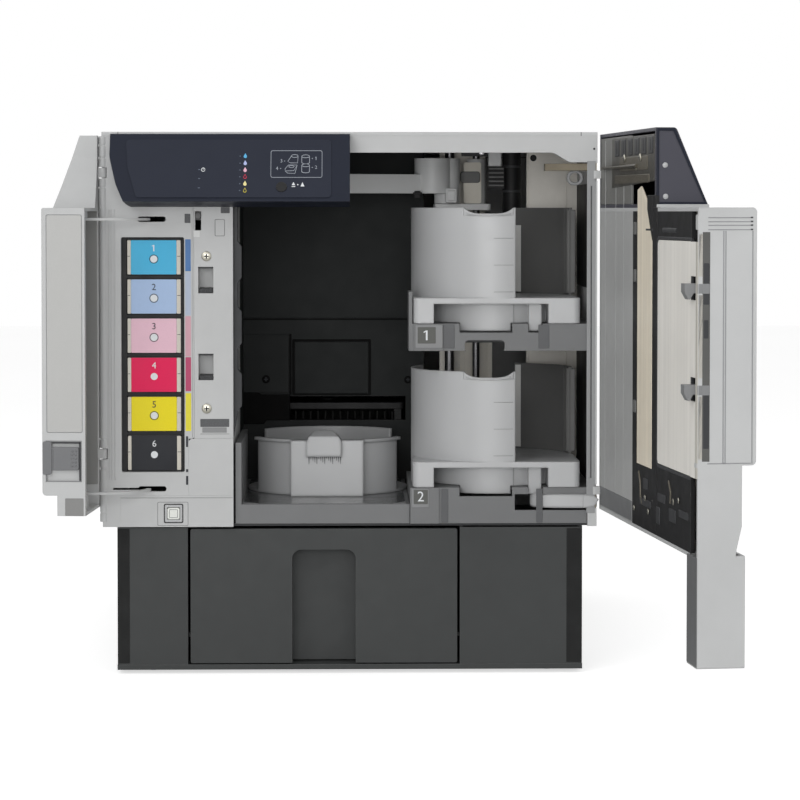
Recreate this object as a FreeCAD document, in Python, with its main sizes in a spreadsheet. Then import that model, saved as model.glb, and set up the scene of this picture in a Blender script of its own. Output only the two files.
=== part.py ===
"""Disc label printer: a parametric FreeCAD document, one object for each separate piece.

Frame: +X to the right as seen from the front, +Y to the back, +Z up, millimetres. The origin is the
centre of the base's underside. Front faces lie on the plane y = -body_depth / 2. deep() turns a depth
behind that plane into y, and left() and right() turn a distance in from a side of the body into x.
The disc door and the ink cover are drawn shut and then swung open about their hinges, which is how
the printer rests here.
"""
import FreeCAD, Part
import math
import os
import re

import Sketcher

doc = FreeCAD.newDocument("DiscLabelPrinter")

# ---------------------------------------------------------------- driving dimensions

SIZES = {
    # body; tools that cut run past the faces by "past"
    "body_width": 377, "body_depth": 426, "body_top": 411, "shell_wall": 3, "facing": 4,
    "deck_level": 110, "deck_thickness": 2, "cover_setback": 6, "fit_gap": 0.3, "past": 1,
    # base
    "base_width": 356, "base_setback": 3, "base_wall": 3, "base_floor": 4,
    "base_cover_thickness": 5, "seam": 2, "foot_radius": 9, "foot_height": 3, "foot_seat": 2,
    "foot_inset": 26,
    # drawer
    "drawer_centre": -20, "drawer_width": 204, "drawer_length": 300, "drawer_front_thickness": 8,
    "drawer_bottom": 5, "drawer_tray_height": 74, "drawer_wall": 2.5, "drawer_side_space": 8,
    "runner_height": 27, "runner_thickness": 3, "grip_width": 48.6, "grip_top": 92,
    "grip_depth": 16, "grip_radius": 7, "well_wall": 2.5,
    # front frame round the disc bay; the drop is the lintel's step down at its right end
    "lintel_bottom": 395.3, "lintel_drop": 7.3, "drop_start": 33.5, "drop_end": 21.5,
    "pillar_width": 6.9,
    # disc bay
    "bay_left": 101, "bay_floor": 126.7, "bay_floor_right": 45.6, "bay_depth": 200,
    "bay_side_light": 129, "bay_plate": 2.5, "bay_wall_right": 62, "tray_side_width": 4.5,
    "tray_side_top": 174, "tray_side_depth": 130,
    # ink bay
    "bezel_right": 68.5, "bezel_bottom": 134, "rack_left": 14.5, "rack_right": 62.5,
    "rack_top": 331, "rack_bottom": 152, "rack_depth": 140, "rack_lip": 4,
    "cartridge_width": 41.1, "cartridge_height": 27.1, "cartridge_pitch": 29.88,
    "cartridge_top": 329.2, "cartridge_centre": 39.3, "cartridge_depth": 118, "cartridge_setback": 1,
    "arm_slot_left": 8, "arm_slot_middle": 27.2, "arm_slot_right": 48.5, "arm_slot_upper": 344.7,
    "arm_slot_lower": 139.2, "arm_slot_height": 4, "arm_slot_thin": 1.6, "arm_slot_round": 1.8,
    # column between the bays
    "column_left": 69.8, "column_right": 99.5, "column_top": 357.5, "column_setback": 1,
    "block_left": 65.5, "block_top": 177.5, "keeper_left": 73.1, "keeper_width": 11.4,
    "keeper_upper": 298.4, "keeper_lower": 232.2, "keeper_height": 20.1, "keeper_cup": 12,
    "keeper_wall": 1.5, "screw_x": 79.3, "screw_upper": 316.5, "screw_lower": 200.4,
    "screw_radius": 3.8, "screw_shank": 1.5, "screw_head": 1.2, "screw_reach": 6,
    "lock_x": 73.1, "lock_slot_bottom": 336.3, "lock_slot_top": 350.7, "lock_radius": 2.2,
    "lock_rest": 347.2, "lock_proud": 1.5, "lock_flange": 1.5, "lock_lip": 1, "slide_gap": 0.1,
    "sill_left": 13.5, "button_x": 53.9, "button_z": 120.4, "button_width": 9.2,
    "button_height": 8.8, "button_proud": 1, "button_flange": 2,
    # control panel, whose outline bends at the shoulder and turns in at the curve
    "panel_left": 7.9, "panel_top": 409, "panel_bottom": 358, "panel_top_reach": 14,
    "panel_bottom_reach": 37.5, "panel_foot": 354, "panel_wall": 2.5, "panel_curve_mid": 13.2,
    "panel_curve_end": 21, "panel_shoulder": 8, "panel_curve_rise": 13, "panel_round": 20,
    "panel_margin": 5, "face_left": 20, "face_right": -14, "face_top": 404.5, "face_bottom": 361,
    "face_lean": 9, "face_lean_mid": 2, "face_thickness": 0.6, "round_button_x": -51.2,
    "round_button_z": 368.6, "round_button_radius": 4, "round_button_length": 9,
    "round_button_proud": 1.2, "round_button_flange": 1.5,
    # stackers
    "disc_radius": 60, "disc_room": 1.6, "cup_wall": 2.4, "stacker_x": 112, "stacker_depth": 66,
    "stacker_base_height": 19.4, "cup_height": 69, "cup_start": 150, "cup_sweep": 133,
    "guide_start": 8, "guide_sweep": 62, "notch_width": 38, "notch_depth": 6, "notch_x": 106,
    "base_recess_depth": 10, "base_bar": 4.5, "base_round": 5, "left_post": 16,
    "right_post": 24.4, "tab_left": 84.5, "tab_width": 38.8, "tab_drop": 6, "tab_thickness": 2.5,
    "small_tab_left": 137, "small_tab_width": 10, "small_tab_depth": 12, "tab_gap": 0.8,
    # shelves
    "shelf_left": 48.9, "upper_shelf_top": 264.8, "upper_shelf_height": 20.6,
    "lower_shelf_left": 46, "lower_shelf_top": 139.4, "shelf_plate": 2.5, "shelf_depth": 134,
    "arch_centre": 102.9, "arch_width": 30.5, "arch_rise": 8, "plaque_width": 22,
    "plaque_thickness": 1.5, "post_width": 4, "post_relief": 1.3, "post_height": 45,
    "post_depth": 40, "shelf_arm_room": 24, "shelf_arm_gap": 6, "shelf_end_gap": 8,
    # centre bin
    "bin_x": -18, "bin_back_gap": 9, "bin_height": 44, "bin_floor": 2, "bin_front_half": 60,
    "bin_back_half": 55, "bin_back_extra": 1, "bulge_width": 57, "bulge_reach": 6,
    "flange_reach": 2, "flange_height": 2.4, "flange_turn": 2, "hood_width": 27.5,
    "hood_offset": 2.5, "hood_bottom": 31.5, "hood_front_top": 47.3, "hood_back_top": 51.5,
    "hood_reach": 3, "hood_round": 11,
    # lift and transfer arm
    "hub_x": 80, "hub_depth": 167, "hub_radius": 10.5, "hub_bottom": 357, "hub_top": 394,
    "rod_radius": 4, "rod_step": 3, "rod_depth": 191, "rod_sleeve": 8, "guide_rod_radius": 3,
    "guide_rod_step": 22, "pivot_radius": 5,
    "rod_clearance": 0.06, "arm_bottom": 365.3, "arm_top": 380.8, "arm_width": 13,
    "shroud_radius": 15, "shroud_step": 13, "gripper_radius": 12, "gripper_drop": 8,
    "gripper_core": 7.2, "carriage_thickness": 5, "frame_plate": 3, "frame_left": 64,
    "frame_right": 142, "frame_back": 204, "frame_foot": 12, "spine_side": 8,
    "motor_x": 131.5, "motor_depth": 140, "motor_radius": 7.5, "motor_bottom": 343,
    "gearbox_width": 13, "gearbox_bottom": 369, "gearbox_top": 387, "gearbox_overlap": 1,
    "sight_x": 151, "sight_z": 397, "sight_radius": 2.6, "rear_plate_depth": 146,
    # print unit behind the disc bay
    "mouth_width": 129, "mouth_bottom": 176, "mouth_top": 196, "unit_left": 16.5,
    "unit_right": 60, "unit_back_space": 21, "unit_bottom": 150, "unit_top": 320,
    "unit_leg_inset": 20, "tray_bottom": 185, "tray_thickness": 5, "tray_width": 126,
    "tray_depth": 270, "tray_recess": 1.6, "tray_seat_room": 0.5, "spindle_radius": 7.3,
    "rail_width": 6, "carriage_width": 60, "carriage_length": 52, "carriage_bottom": 204,
    "carriage_height": 52, "shaft_z": 240, "shaft_radius": 4,
    # disc door
    "hinge_inset": 1, "hinge_depth": 2.5, "door_left": 68, "door_inner": 1, "door_outer": 40,
    "door_low_outer": 30.7, "door_foot_outer": 26.9, "door_bottom": 123, "door_step": 184.8,
    "door_taper_top": 144.9, "door_taper_bottom": 128.1, "door_top": 353.2, "door_wall": 2.5,
    "door_open": 96.6, "leg_width": 28.5, "leg_bottom": 51.5, "leg_outer": 33,
    "band_top": 409, "band_top_outer": 15.5, "band_bottom_outer": 39, "liner": 3,
    "light_liner_left": 73.5, "panel_raise": 1, "panel_edge": 4, "window_left": 90.5,
    "window_right": -5.5, "window_bottom": 190, "window_top": 330.3, "slit_left": 12,
    "slit_right": 55, "slit_top": 345, "window_drop": 14, "slit_drop": 20,
    "pane_thickness": 2, "pane_lap": 3, "lug_radius": 3.2, "pin_radius": 1.5, "lug_height": 6,
    "pin_end": 0.5, "upper_arm_bottom": 381.9, "upper_arm_thickness": 5.4,
    "lower_arm_bottom": 124, "lower_arm_thickness": 10, "arm_reach": 34, "arm_inner": 38.5,
    "arm_strip": 10, "arm_nose": 0.5, "latch_width": 10, "latch_left": 73.8,
    "latch_bar_depth": 5, "latch_front": 6, "hook_height": 10.4, "hook_reach": 7, "hook_tip": 3,
    "hook_drop": 3.5, "latch_top": 340, "latch_bottom": 196, "channel_side": 3,
    "channel_floor": 2, "channel_end": 8,
    # ink cover
    "ink_right": 66, "ink_bottom": 125.4, "ink_top": 353.2, "ink_outer": 33,
    "ink_foot_outer": 22, "ink_foot_top": 140.5, "ink_wall": 2.5, "ink_open": 94,
    "ear_top": 408, "ear_top_width": 7.2, "ear_bottom_width": 19, "ear_waist_width": 11.8,
    "ear_waist": 16, "ear_neck": 38, "ear_round": 15, "ear_top_outer": 14,
    "strut_radius": 35.5, "strut_width": 3, "strut_thickness": 2, "strut_sweep": 82,
    "strut_foot": 8, "strut_stem": 6, "strut_foot_thickness": 2, "ink_latch_bottom": 156,
    "ink_latch_height": 25, "ink_latch_width": 27, "ink_latch_thickness": 2.5,
    "ink_latch_travel": 5, "ink_latch_setback": 2.5, "ink_latch_sink": 0.2,
    "ink_latch_waist": 5, "ink_latch_shoulder": 13.75, "ink_hinge_upper": 380,
    "ink_hinge_lower": 166, "ink_lug_radius": 2.6, "ink_lug_height": 7.4, "ink_pin_radius": 1,
    # electronics and rear
    "board_height": 2, "board_width": 100, "board_length": 90, "board_right": 18.5,
    "board_leg": 6, "board_leg_inset": 2, "board_edge": 10, "supply_front": 60,
    "supply_height": 60, "supply_length": 180, "vent_count": 9, "vent_width": 4,
    "vent_height": 60, "vent_pitch": 12, "vent_left": 38.5, "vent_drop": 30, "socket_z": 132,
    "socket_width": 28, "socket_height": 22, "socket_right": 68.5, "socket_wall": 4,
    "socket_length": 26, "socket_hollow": 16, "port_width": 12, "port_right": 98.5,
    "port_wall": 2.5, "port_length": 20, "port_hollow": 12, "plug_setback": 0.5,
    # edge rounding
    "edge_round": 3, "small_round": 1.5,
}

sheet = doc.addObject("Spreadsheet::Sheet", "Sizes")
for row, (alias, value) in enumerate(SIZES.items(), 1):
    sheet.set(f"A{row}", alias)
    sheet.set(f"B{row}", str(value))
    sheet.setAlias(f"B{row}", alias)
doc.recompute()

# ---------------------------------------------------------------- helpers

TURN_TO = {
    "x": FreeCAD.Rotation(FreeCAD.Vector(0, 1, 0), 90),
    "y": FreeCAD.Rotation(FreeCAD.Vector(1, 0, 0), -90),
    "z": FreeCAD.Rotation(),
}
PLANE_OF = {"x": "YZ_Plane", "y": "XZ_Plane", "z": "XY_Plane"}
PIECES = []


def bound(text):
    """The expression with each size's name pointed at the spreadsheet."""
    return re.sub(r"[a-z]\w+", lambda m: f"Sizes.{m[0]}" if m[0] in SIZES else m[0], str(text))


def deep(text):
    """The y of a depth behind the front plane."""
    return f"(({text}) - body_depth / 2)"


def left(text):
    """The x of a distance in from the body's left side."""
    return f"(({text}) - body_width / 2)"


def right(text):
    """The x of a distance in from the body's right side."""
    return f"(body_width / 2 - ({text}))"


def block(x, y, z):
    """A box between two x, two y and two z."""
    box = doc.addObject("Part::Box", "Block")
    for side, letter, (low, high) in zip(("Length", "Width", "Height"), "xyz", (x, y, z)):
        box.setExpression(side, bound(f"({high}) - ({low})"))
        box.setExpression(f"Placement.Base.{letter}", bound(low))
    return box


def rod(axis, centre, radius, span, sweep=None, start=None):
    """A cylinder along an axis, or a sector of one about z. centre names the other two coordinates."""
    cylinder = doc.addObject("Part::Cylinder", "Rod")
    cylinder.Placement = FreeCAD.Placement(FreeCAD.Vector(), TURN_TO[axis])
    cylinder.setExpression("Radius", bound(radius))
    cylinder.setExpression("Height", bound(f"({span[1]}) - ({span[0]})"))
    others = [letter for letter in "xyz" if letter != axis]
    for letter, place in list(zip(others, centre)) + [(axis, span[0])]:
        cylinder.setExpression(f"Placement.Base.{letter}", bound(place))
    if sweep:
        cylinder.Placement.Rotation = FreeCAD.Rotation(FreeCAD.Vector(0, 0, 1), 1)
        cylinder.setExpression("Angle", bound(sweep))
        cylinder.setExpression("Placement.Rotation.Angle", bound(start))
    return cylinder


def fused(parts):
    if len(parts) == 1:
        return parts[0]
    union = doc.addObject("Part::MultiFuse", "Union")
    union.Shapes = parts
    union.Refine = True
    return union


def cut(base, tools):
    if not tools:
        return base
    difference = doc.addObject("Part::Cut", "Difference")
    difference.Base = base
    difference.Tool = fused(tools)
    difference.Refine = True
    return difference


def common(first, second):
    shared = doc.addObject("Part::MultiCommon", "Shared")
    shared.Shapes = [first, second]
    return shared


def ring(centre, inner, outer, span, sweep=None, start=None):
    """A tube about z, or an arc of one."""
    return cut(rod("z", centre, outer, span, sweep, start), [rod("z", centre, inner, span)])


def prism(axis, points, span, rounds=()):
    """A polygon drawn square to an axis and padded along it. rounds holds (corner number, radius)."""
    body = doc.addObject("PartDesign::Body", "Prism")
    sketch = body.newObject("Sketcher::SketchObject", "Outline")
    plane = next(f for f in body.Origin.OriginFeatures if f.Role == PLANE_OF[axis])
    sketch.AttachmentSupport = [(plane, "")]
    sketch.MapMode = "FlatFace"
    count = len(points)
    seeds = [
        FreeCAD.Vector(math.cos(2 * math.pi * i / count), math.sin(2 * math.pi * i / count), 0)
        for i in range(count)
    ]
    for i in range(count):
        sketch.addGeometry(Part.LineSegment(seeds[i], seeds[(i + 1) % count]))
    for i in range(count):
        sketch.addConstraint(Sketcher.Constraint("Coincident", i, 2, (i + 1) % count, 1))
    for i, point in enumerate(points):
        for kind, place, seed in zip(("DistanceX", "DistanceY"), point, seeds[i]):
            number = sketch.addConstraint(Sketcher.Constraint(kind, -1, 1, i, 1, seed))
            sketch.setExpression(f"Constraints[{number}]", bound(place))
    pad = body.newObject("PartDesign::Pad", "Pad")
    pad.Profile = sketch
    pad.Reversed = axis == "y"
    pad.setExpression("Length", bound(f"({span[1]}) - ({span[0]})"))
    for corner, radius in rounds:
        doc.recompute()
        base = body.Tip
        spot = sketch.Geometry[corner].StartPoint
        spot = sketch.Placement.multVec(spot)
        along = {"x": 0, "y": 1, "z": 2}[axis]
        wanted = [v for i, v in enumerate(spot) if i != along]

        def runs_through(edge):
            ends = [vertex.Point for vertex in edge.Vertexes]
            flat = [[v for i, v in enumerate(end) if i != along] for end in ends]
            return len(ends) == 2 and all(math.dist(f, wanted) < 1e-4 for f in flat)

        edges = [f"Edge{i}" for i, edge in enumerate(base.Shape.Edges, 1) if runs_through(edge)]
        fillet = body.newObject("PartDesign::Fillet", "Rounding")
        fillet.Base = (base, edges)
        fillet.setExpression("Radius", bound(radius))
        body.Tip = fillet
    body.setExpression(f"Placement.Base.{axis}", bound(span[0]))
    return body


def soft_block(axis, x, y, z, radius="edge_round"):
    """A box whose four edges along one axis are rounded."""
    spans = {"x": x, "y": y, "z": z}
    across, up = (spans[letter] for letter in "xyz" if letter != axis)
    corners = [(across[i], up[j]) for i, j in ((0, 0), (1, 0), (1, 1), (0, 1))]
    return prism(axis, corners, spans[axis], [(i, radius) for i in range(4)])


def swung(solid, hinge_x, hinge_depth, angle):
    """The solid turned about a vertical hinge line."""
    holder = doc.addObject("Part::Compound", "Swung")
    holder.Links = [solid]
    holder.Placement = FreeCAD.Placement(
        FreeCAD.Vector(), FreeCAD.Rotation(FreeCAD.Vector(0, 0, 1), 1)
    )
    x, y, turn = hinge_x, deep(hinge_depth), f"({angle})"
    holder.setExpression("Placement.Base.x", bound(f"{x} - {x} * cos({turn}) + {y} * sin({turn})"))
    holder.setExpression("Placement.Base.y", bound(f"{y} - {x} * sin({turn}) - {y} * cos({turn})"))
    holder.setExpression("Placement.Rotation.Angle", bound(turn))
    return holder


def piece(label, plus, minus=(), swing=None):
    """One separate piece of the printer, whose label names its file."""
    solid = cut(fused(plus), list(minus))
    if swing == "door":
        solid = swung(solid, HINGE, "hinge_depth", "door_open")
    if swing == "ink":
        solid = swung(solid, f"(-{HINGE})", "hinge_depth", "-ink_open")
    solid.Label = label
    PIECES.append(solid)
    return solid


SIDE = "(body_width / 2)"
BASE_SIDE = "(base_width / 2)"
INSIDE = "(body_width / 2 - shell_wall)"
CEILING = "(body_top - shell_wall)"
BACK = deep("body_depth")
DECK_TOP = "(deck_level + deck_thickness)"
HINGE = "(body_width / 2 - hinge_inset)"
WELL_LEFT = "(drawer_centre - drawer_width / 2 - seam)"
WELL_RIGHT = "(drawer_centre + drawer_width / 2 + seam)"
BIN_OUTER = "(disc_radius + disc_room + cup_wall)"
BIN_DEPTH = f"(bay_depth - bin_back_gap - {BIN_OUTER})"
FACE = (deep(0), deep("facing"))
FACE_CUT = (deep("-past"), deep("facing + past"))
BACK_CUT = (f"{BACK} - shell_wall - past", f"{BACK} + past")

# ---------------------------------------------------------------- base


def make_base():
    front, back = deep("base_setback + base_cover_thickness"), deep("body_depth - base_setback")
    floor = block((f"-{BASE_SIDE}", BASE_SIDE), (deep("base_setback"), back), (0, "base_floor"))
    y, z = (front, back), ("base_floor", "deck_level")
    walls = [
        block((f"-{BASE_SIDE}", f"-{BASE_SIDE} + base_wall"), y, z),
        block((f"{BASE_SIDE} - base_wall", BASE_SIDE), y, z),
        block((f"-{BASE_SIDE}", BASE_SIDE), (f"{back} - base_wall", back), z),
        block((f"{WELL_LEFT} - well_wall", WELL_LEFT), y, z),
        block((WELL_RIGHT, f"{WELL_RIGHT} + well_wall"), y, z),
    ]
    runner_y = (deep("base_setback + drawer_front_thickness + fit_gap"), back)
    runner_z = ("runner_height - runner_thickness", "runner_height")
    runners = [
        block((WELL_LEFT, f"{WELL_LEFT} + drawer_side_space"), runner_y, runner_z),
        block((f"{WELL_RIGHT} - drawer_side_space", WELL_RIGHT), runner_y, runner_z),
    ]
    seats, feet = [], []
    for x in (f"{BASE_SIDE} - foot_inset", f"-{BASE_SIDE} + foot_inset"):
        for foot_y in (deep("base_setback + foot_inset"), f"{back} - foot_inset"):
            seats.append(rod("z", (x, foot_y), "foot_radius", (0, "foot_seat")))
            feet.append(rod("z", (x, foot_y), "foot_radius", ("-foot_height", "foot_seat")))
    piece("base_pan", [floor] + walls + runners, seats)
    piece("rubber_feet", feet)

    cover_z = ("base_floor", "deck_level - seam / 2")
    piece("base_left_cover", [
        prism("z", [
            (f"-{BASE_SIDE}", front), (f"-{BASE_SIDE}", deep("base_setback")),
            (WELL_LEFT, deep("base_setback")), (WELL_LEFT, front),
        ], cover_z, [(1, "edge_round")]),
    ])
    piece("base_right_cover", [
        prism("z", [
            (WELL_RIGHT, front), (WELL_RIGHT, deep("base_setback")),
            (BASE_SIDE, deep("base_setback")), (BASE_SIDE, front),
        ], cover_z, [(2, "edge_round")]),
    ])
    piece("main_deck", [
        block((f"-{INSIDE}", INSIDE), (deep("cover_setback"), f"{BACK} - shell_wall"),
              ("deck_level", DECK_TOP)),
    ])


def make_drawer():
    low_x, high_x = "drawer_centre - drawer_width / 2", "drawer_centre + drawer_width / 2"
    face_back = deep("base_setback + drawer_front_thickness")
    grip = ("drawer_centre - grip_width / 2", "drawer_centre + grip_width / 2")
    pocket_back = deep("base_setback + grip_depth")
    front = soft_block("y", (low_x, high_x), (deep("base_setback"), face_back),
                       ("drawer_bottom", "deck_level - seam"), "small_round")
    pocket_shell = block((f"{grip[0]} - drawer_wall", f"{grip[1]} + drawer_wall"),
                         (face_back, f"{pocket_back} + drawer_wall"),
                         ("drawer_bottom", "grip_top + drawer_wall"))
    pocket = prism("y", [
        (grip[0], "0"), (grip[1], "0"), (grip[1], "grip_top"), (grip[0], "grip_top"),
    ], (deep("base_setback - past"), pocket_back), [(2, "grip_radius"), (3, "grip_radius")])
    piece("drawer_front", [front, pocket_shell], [pocket])

    x = (f"({low_x} + drawer_side_space)", f"({high_x} - drawer_side_space)")
    front_y = f"({pocket_back} + drawer_wall)"
    y = (front_y, f"({front_y} + drawer_length)")
    z = ("drawer_bottom + drawer_wall", "drawer_bottom + drawer_tray_height")
    tray = block(x, y, z)
    room = block((f"{x[0]} + drawer_wall", f"{x[1]} - drawer_wall"),
                 (f"{y[0]} + drawer_wall", f"{y[1]} - drawer_wall"),
                 (f"{z[0]} + drawer_wall", f"{z[1]} + past"))
    wing_z = ("runner_height + fit_gap", "runner_height + fit_gap + runner_thickness")
    wings = [block((low_x, x[0]), y, wing_z), block((x[1], high_x), y, wing_z)]
    piece("drawer_tray", [tray] + wings, [room])


# ---------------------------------------------------------------- outer shells


def make_shells():
    sides_y = (deep("cover_setback"), BACK)
    for label, x in (
        ("left_side_cover", (f"-{SIDE}", f"-{INSIDE}")), ("right_side_cover", (INSIDE, SIDE)),
    ):
        piece(label, [block(x, sides_y, ("deck_level", CEILING))])
    piece("top_cover", [
        prism("x", [
            (deep(0), "body_top"), (deep(0), CEILING), (BACK, CEILING), (BACK, "body_top"),
        ], (f"-{SIDE}", SIDE), [(3, "small_round"), (0, "small_round")]),
    ])
    vents = [
        block((left(f"vent_left + vent_pitch * {i}"), left(f"vent_left + vent_pitch * {i} + vent_width")),
              BACK_CUT, (f"{CEILING} - vent_drop - vent_height", f"{CEILING} - vent_drop"))
        for i in range(SIZES["vent_count"])
    ]
    inlet = block((right("socket_right"), right("socket_right - socket_width")), BACK_CUT,
                  ("socket_z", "socket_z + socket_height"))
    port = block((right("port_right"), right("port_right - port_width")), BACK_CUT,
                 ("socket_z", "socket_z + port_width"))
    piece("back_panel", [
        block((f"-{INSIDE}", INSIDE), (f"{BACK} - shell_wall", BACK), ("deck_level", CEILING)),
    ], vents + [inlet, port])

    upper = ("upper_arm_bottom - lug_height - seam", "upper_arm_bottom + upper_arm_thickness + fit_gap")
    lower = ("lower_arm_bottom - fit_gap",
             "lower_arm_bottom + lower_arm_thickness + lug_height + seam")
    notches = [
        block((f"{HINGE} - lug_radius - fit_gap", f"{SIDE} + past"),
              (deep("-past"), deep("cover_setback + past")), span)
        for span in (upper, lower)
    ]
    drop = "lintel_bottom - lintel_drop"
    piece("front_frame", [
        prism("y", [
            ("0", CEILING), ("0", "lintel_bottom"), (right("drop_start"), "lintel_bottom"),
            (right("drop_end"), drop), (f"{SIDE} - pillar_width", drop),
            (f"{SIDE} - pillar_width", "deck_level"), (SIDE, "deck_level"), (SIDE, CEILING),
        ], (deep(0), deep("cover_setback")), [(2, "lintel_drop"), (3, "lintel_drop")]),
    ], notches)


# ---------------------------------------------------------------- ink bay


def arm_slots():
    """The slots that the ink cover's arms pass through: a thin tail with a wide, round end."""
    slots = []
    for z in ("arm_slot_upper", "arm_slot_lower"):
        slots.append(block((left("arm_slot_left"), left("arm_slot_middle + past")), FACE_CUT,
                           (f"{z} - arm_slot_thin / 2", f"{z} + arm_slot_thin / 2")))
        slots.append(soft_block("y", (left("arm_slot_middle"), left("arm_slot_right")), FACE_CUT,
                                (f"{z} - arm_slot_height / 2", f"{z} + arm_slot_height / 2"),
                                "arm_slot_round"))
    return slots


def make_ink_bay():
    plate = block((f"-{SIDE}", left("bezel_right")), FACE, ("bezel_bottom", CEILING))
    corner = block((f"-{SIDE}", left("sill_left")), FACE, ("deck_level", "bezel_bottom"))
    opening = soft_block("y", (left("rack_left"), left("rack_right")), FACE_CUT,
                         ("rack_bottom", "rack_top"), "small_round")
    step = block((left("block_left"), left("bezel_right + past")), FACE_CUT,
                 ("bezel_bottom - past", "block_top"))
    notches, pins = [], []
    for z in ("ink_hinge_upper", "ink_hinge_lower"):
        notches.append(block((f"-{SIDE} - past", f"-{HINGE} + ink_lug_radius + fit_gap"), FACE_CUT,
                             (f"{z} - ink_lug_height / 2 - fit_gap",
                              f"{z} + ink_lug_height / 2 + fit_gap")))
        pins.append(rod("z", (f"-{HINGE}", deep("hinge_depth")), "ink_pin_radius",
                        (f"{z} - ink_lug_height", f"{z} + ink_lug_height")))
    face = cut(fused([plate, corner]), [opening, step] + notches + arm_slots())
    piece("ink_bezel", [face] + pins)

    rack = block((left("rack_left - rack_lip"), left("rack_right + rack_lip")),
                 (deep("facing"), deep("rack_depth")), ("rack_bottom - rack_lip", "rack_top + rack_lip"))
    foot = block((left("rack_left"), left("rack_right")), (deep("rack_depth / 2"), deep("rack_depth")),
                 (DECK_TOP, "rack_bottom - rack_lip"))
    half = "cartridge_width / 2"
    slots = [
        block((left(f"cartridge_centre - {half} - fit_gap"), left(f"cartridge_centre + {half} + fit_gap")),
              (deep("facing - past"), deep("cartridge_depth + facing")),
              (f"cartridge_top - cartridge_height - fit_gap - {i} * cartridge_pitch",
               f"cartridge_top + fit_gap - {i} * cartridge_pitch"))
        for i in range(6)
    ]
    piece("ink_rack", [rack, foot], slots)
    for i in range(6):
        top = f"cartridge_top - {i} * cartridge_pitch"
        piece(f"cartridge_{i + 1}", [
            soft_block("y", (left(f"cartridge_centre - {half}"), left(f"cartridge_centre + {half}")),
                       (deep("facing + cartridge_setback"), deep("cartridge_depth")),
                       (f"{top} - cartridge_height", top), "small_round"),
        ])


# ---------------------------------------------------------------- column, sill and their controls


def make_column():
    front, back = deep("column_setback"), deep("facing")
    column_x = (left("column_left"), left("column_right"))
    plate = block(column_x, (front, back), (DECK_TOP, "column_top"))
    lower_block = prism("y", [
        (left("block_left"), "bezel_bottom"), (column_x[1], "bezel_bottom"),
        (column_x[1], "block_top"), (left("block_left"), "block_top"),
    ], (deep(0), back), [(3, "edge_round")])
    side = block((left("column_right - shell_wall"), column_x[1]), (back, deep("bay_side_light")),
                 (DECK_TOP, "column_top"))
    cups, slots = [], []
    for z in ("keeper_upper", "keeper_lower"):
        x = (left("keeper_left"), left("keeper_left + keeper_width"))
        span = (f"{z} - keeper_height / 2", f"{z} + keeper_height / 2")
        cups.append(block((f"{x[0]} - keeper_wall", f"{x[1]} + keeper_wall"),
                          (back, deep("facing + keeper_cup")),
                          (f"{span[0]} - keeper_wall", f"{span[1]} + keeper_wall")))
        slots.append(block(x, (deep("-past"), deep("facing + keeper_cup - keeper_wall")), span))
    lock_half = "(lock_radius + slide_gap)"
    slots.append(block((left(f"lock_x - {lock_half}"), left(f"lock_x + {lock_half}")), FACE_CUT,
                       ("lock_slot_bottom", "lock_slot_top")))
    heads, shanks, holes = [], [], []
    for z in ("screw_upper", "screw_lower"):
        centre = (left("screw_x"), z)
        heads.append(rod("y", centre, "screw_radius", (deep("column_setback - screw_head"), front)))
        shanks.append(rod("y", centre, "screw_shank", (front, deep("facing + screw_reach"))))
        holes.append(rod("y", centre, "screw_shank", FACE_CUT))
    piece("column_cover", [plate, lower_block, side] + cups, slots + holes)
    piece("column_screws", heads + shanks)

    stem = rod("y", (left("lock_x"), "lock_rest"), "lock_radius",
               (deep("column_setback - lock_proud"), deep("facing + fit_gap")))
    lip = "(lock_radius + lock_lip)"
    flange = block((left(f"lock_x - {lip}"), left(f"lock_x + {lip}")),
                   (deep("facing + fit_gap"), deep("facing + fit_gap + lock_flange")),
                   (f"lock_rest - {lip}", f"lock_rest + {lip}"))
    piece("lock_slider", [stem, flange])


def make_sill():
    x = (left("button_x - button_width / 2"), left("button_x + button_width / 2"))
    z = ("button_z - button_height / 2", "button_z + button_height / 2")
    sill_z = ("deck_level", "bezel_bottom")
    sill = block((left("sill_left"), left("block_left")), FACE, sill_z)
    sill_right = block((left("block_left"), left("column_right")),
                       (deep(0), deep("column_setback")), sill_z)
    under = block((left("block_left"), left("column_left")),
                  (deep("column_setback"), deep("facing")), sill_z)
    hole = block((f"{x[0]} - fit_gap", f"{x[1]} + fit_gap"), FACE_CUT,
                 (f"{z[0]} - fit_gap", f"{z[1]} + fit_gap"))
    piece("front_sill", [sill, sill_right, under], [hole])
    cap = soft_block("y", x, (deep("-button_proud"), deep("facing + fit_gap")), z, "small_round")
    collar = block((f"{x[0]} - button_flange", f"{x[1]} + button_flange"),
                   (deep("facing + fit_gap"), deep("facing + fit_gap + button_flange")),
                   (f"{z[0]} - button_flange", f"{z[1]} + button_flange"))
    piece("power_button", [cap, collar])


# ---------------------------------------------------------------- control panel

SLOPE_RUN = "(panel_bottom_reach - panel_top_reach)"
SLOPE_DROP = "(panel_top - panel_bottom)"
SLOPE = f"sqrt({SLOPE_RUN} ^ 2 + {SLOPE_DROP} ^ 2)"


def slope_depth(z):
    """The depth of the panel's sloped face at a height."""
    return f"(-panel_top_reach - (panel_top - ({z})) * {SLOPE_RUN} / {SLOPE_DROP})"


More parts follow.
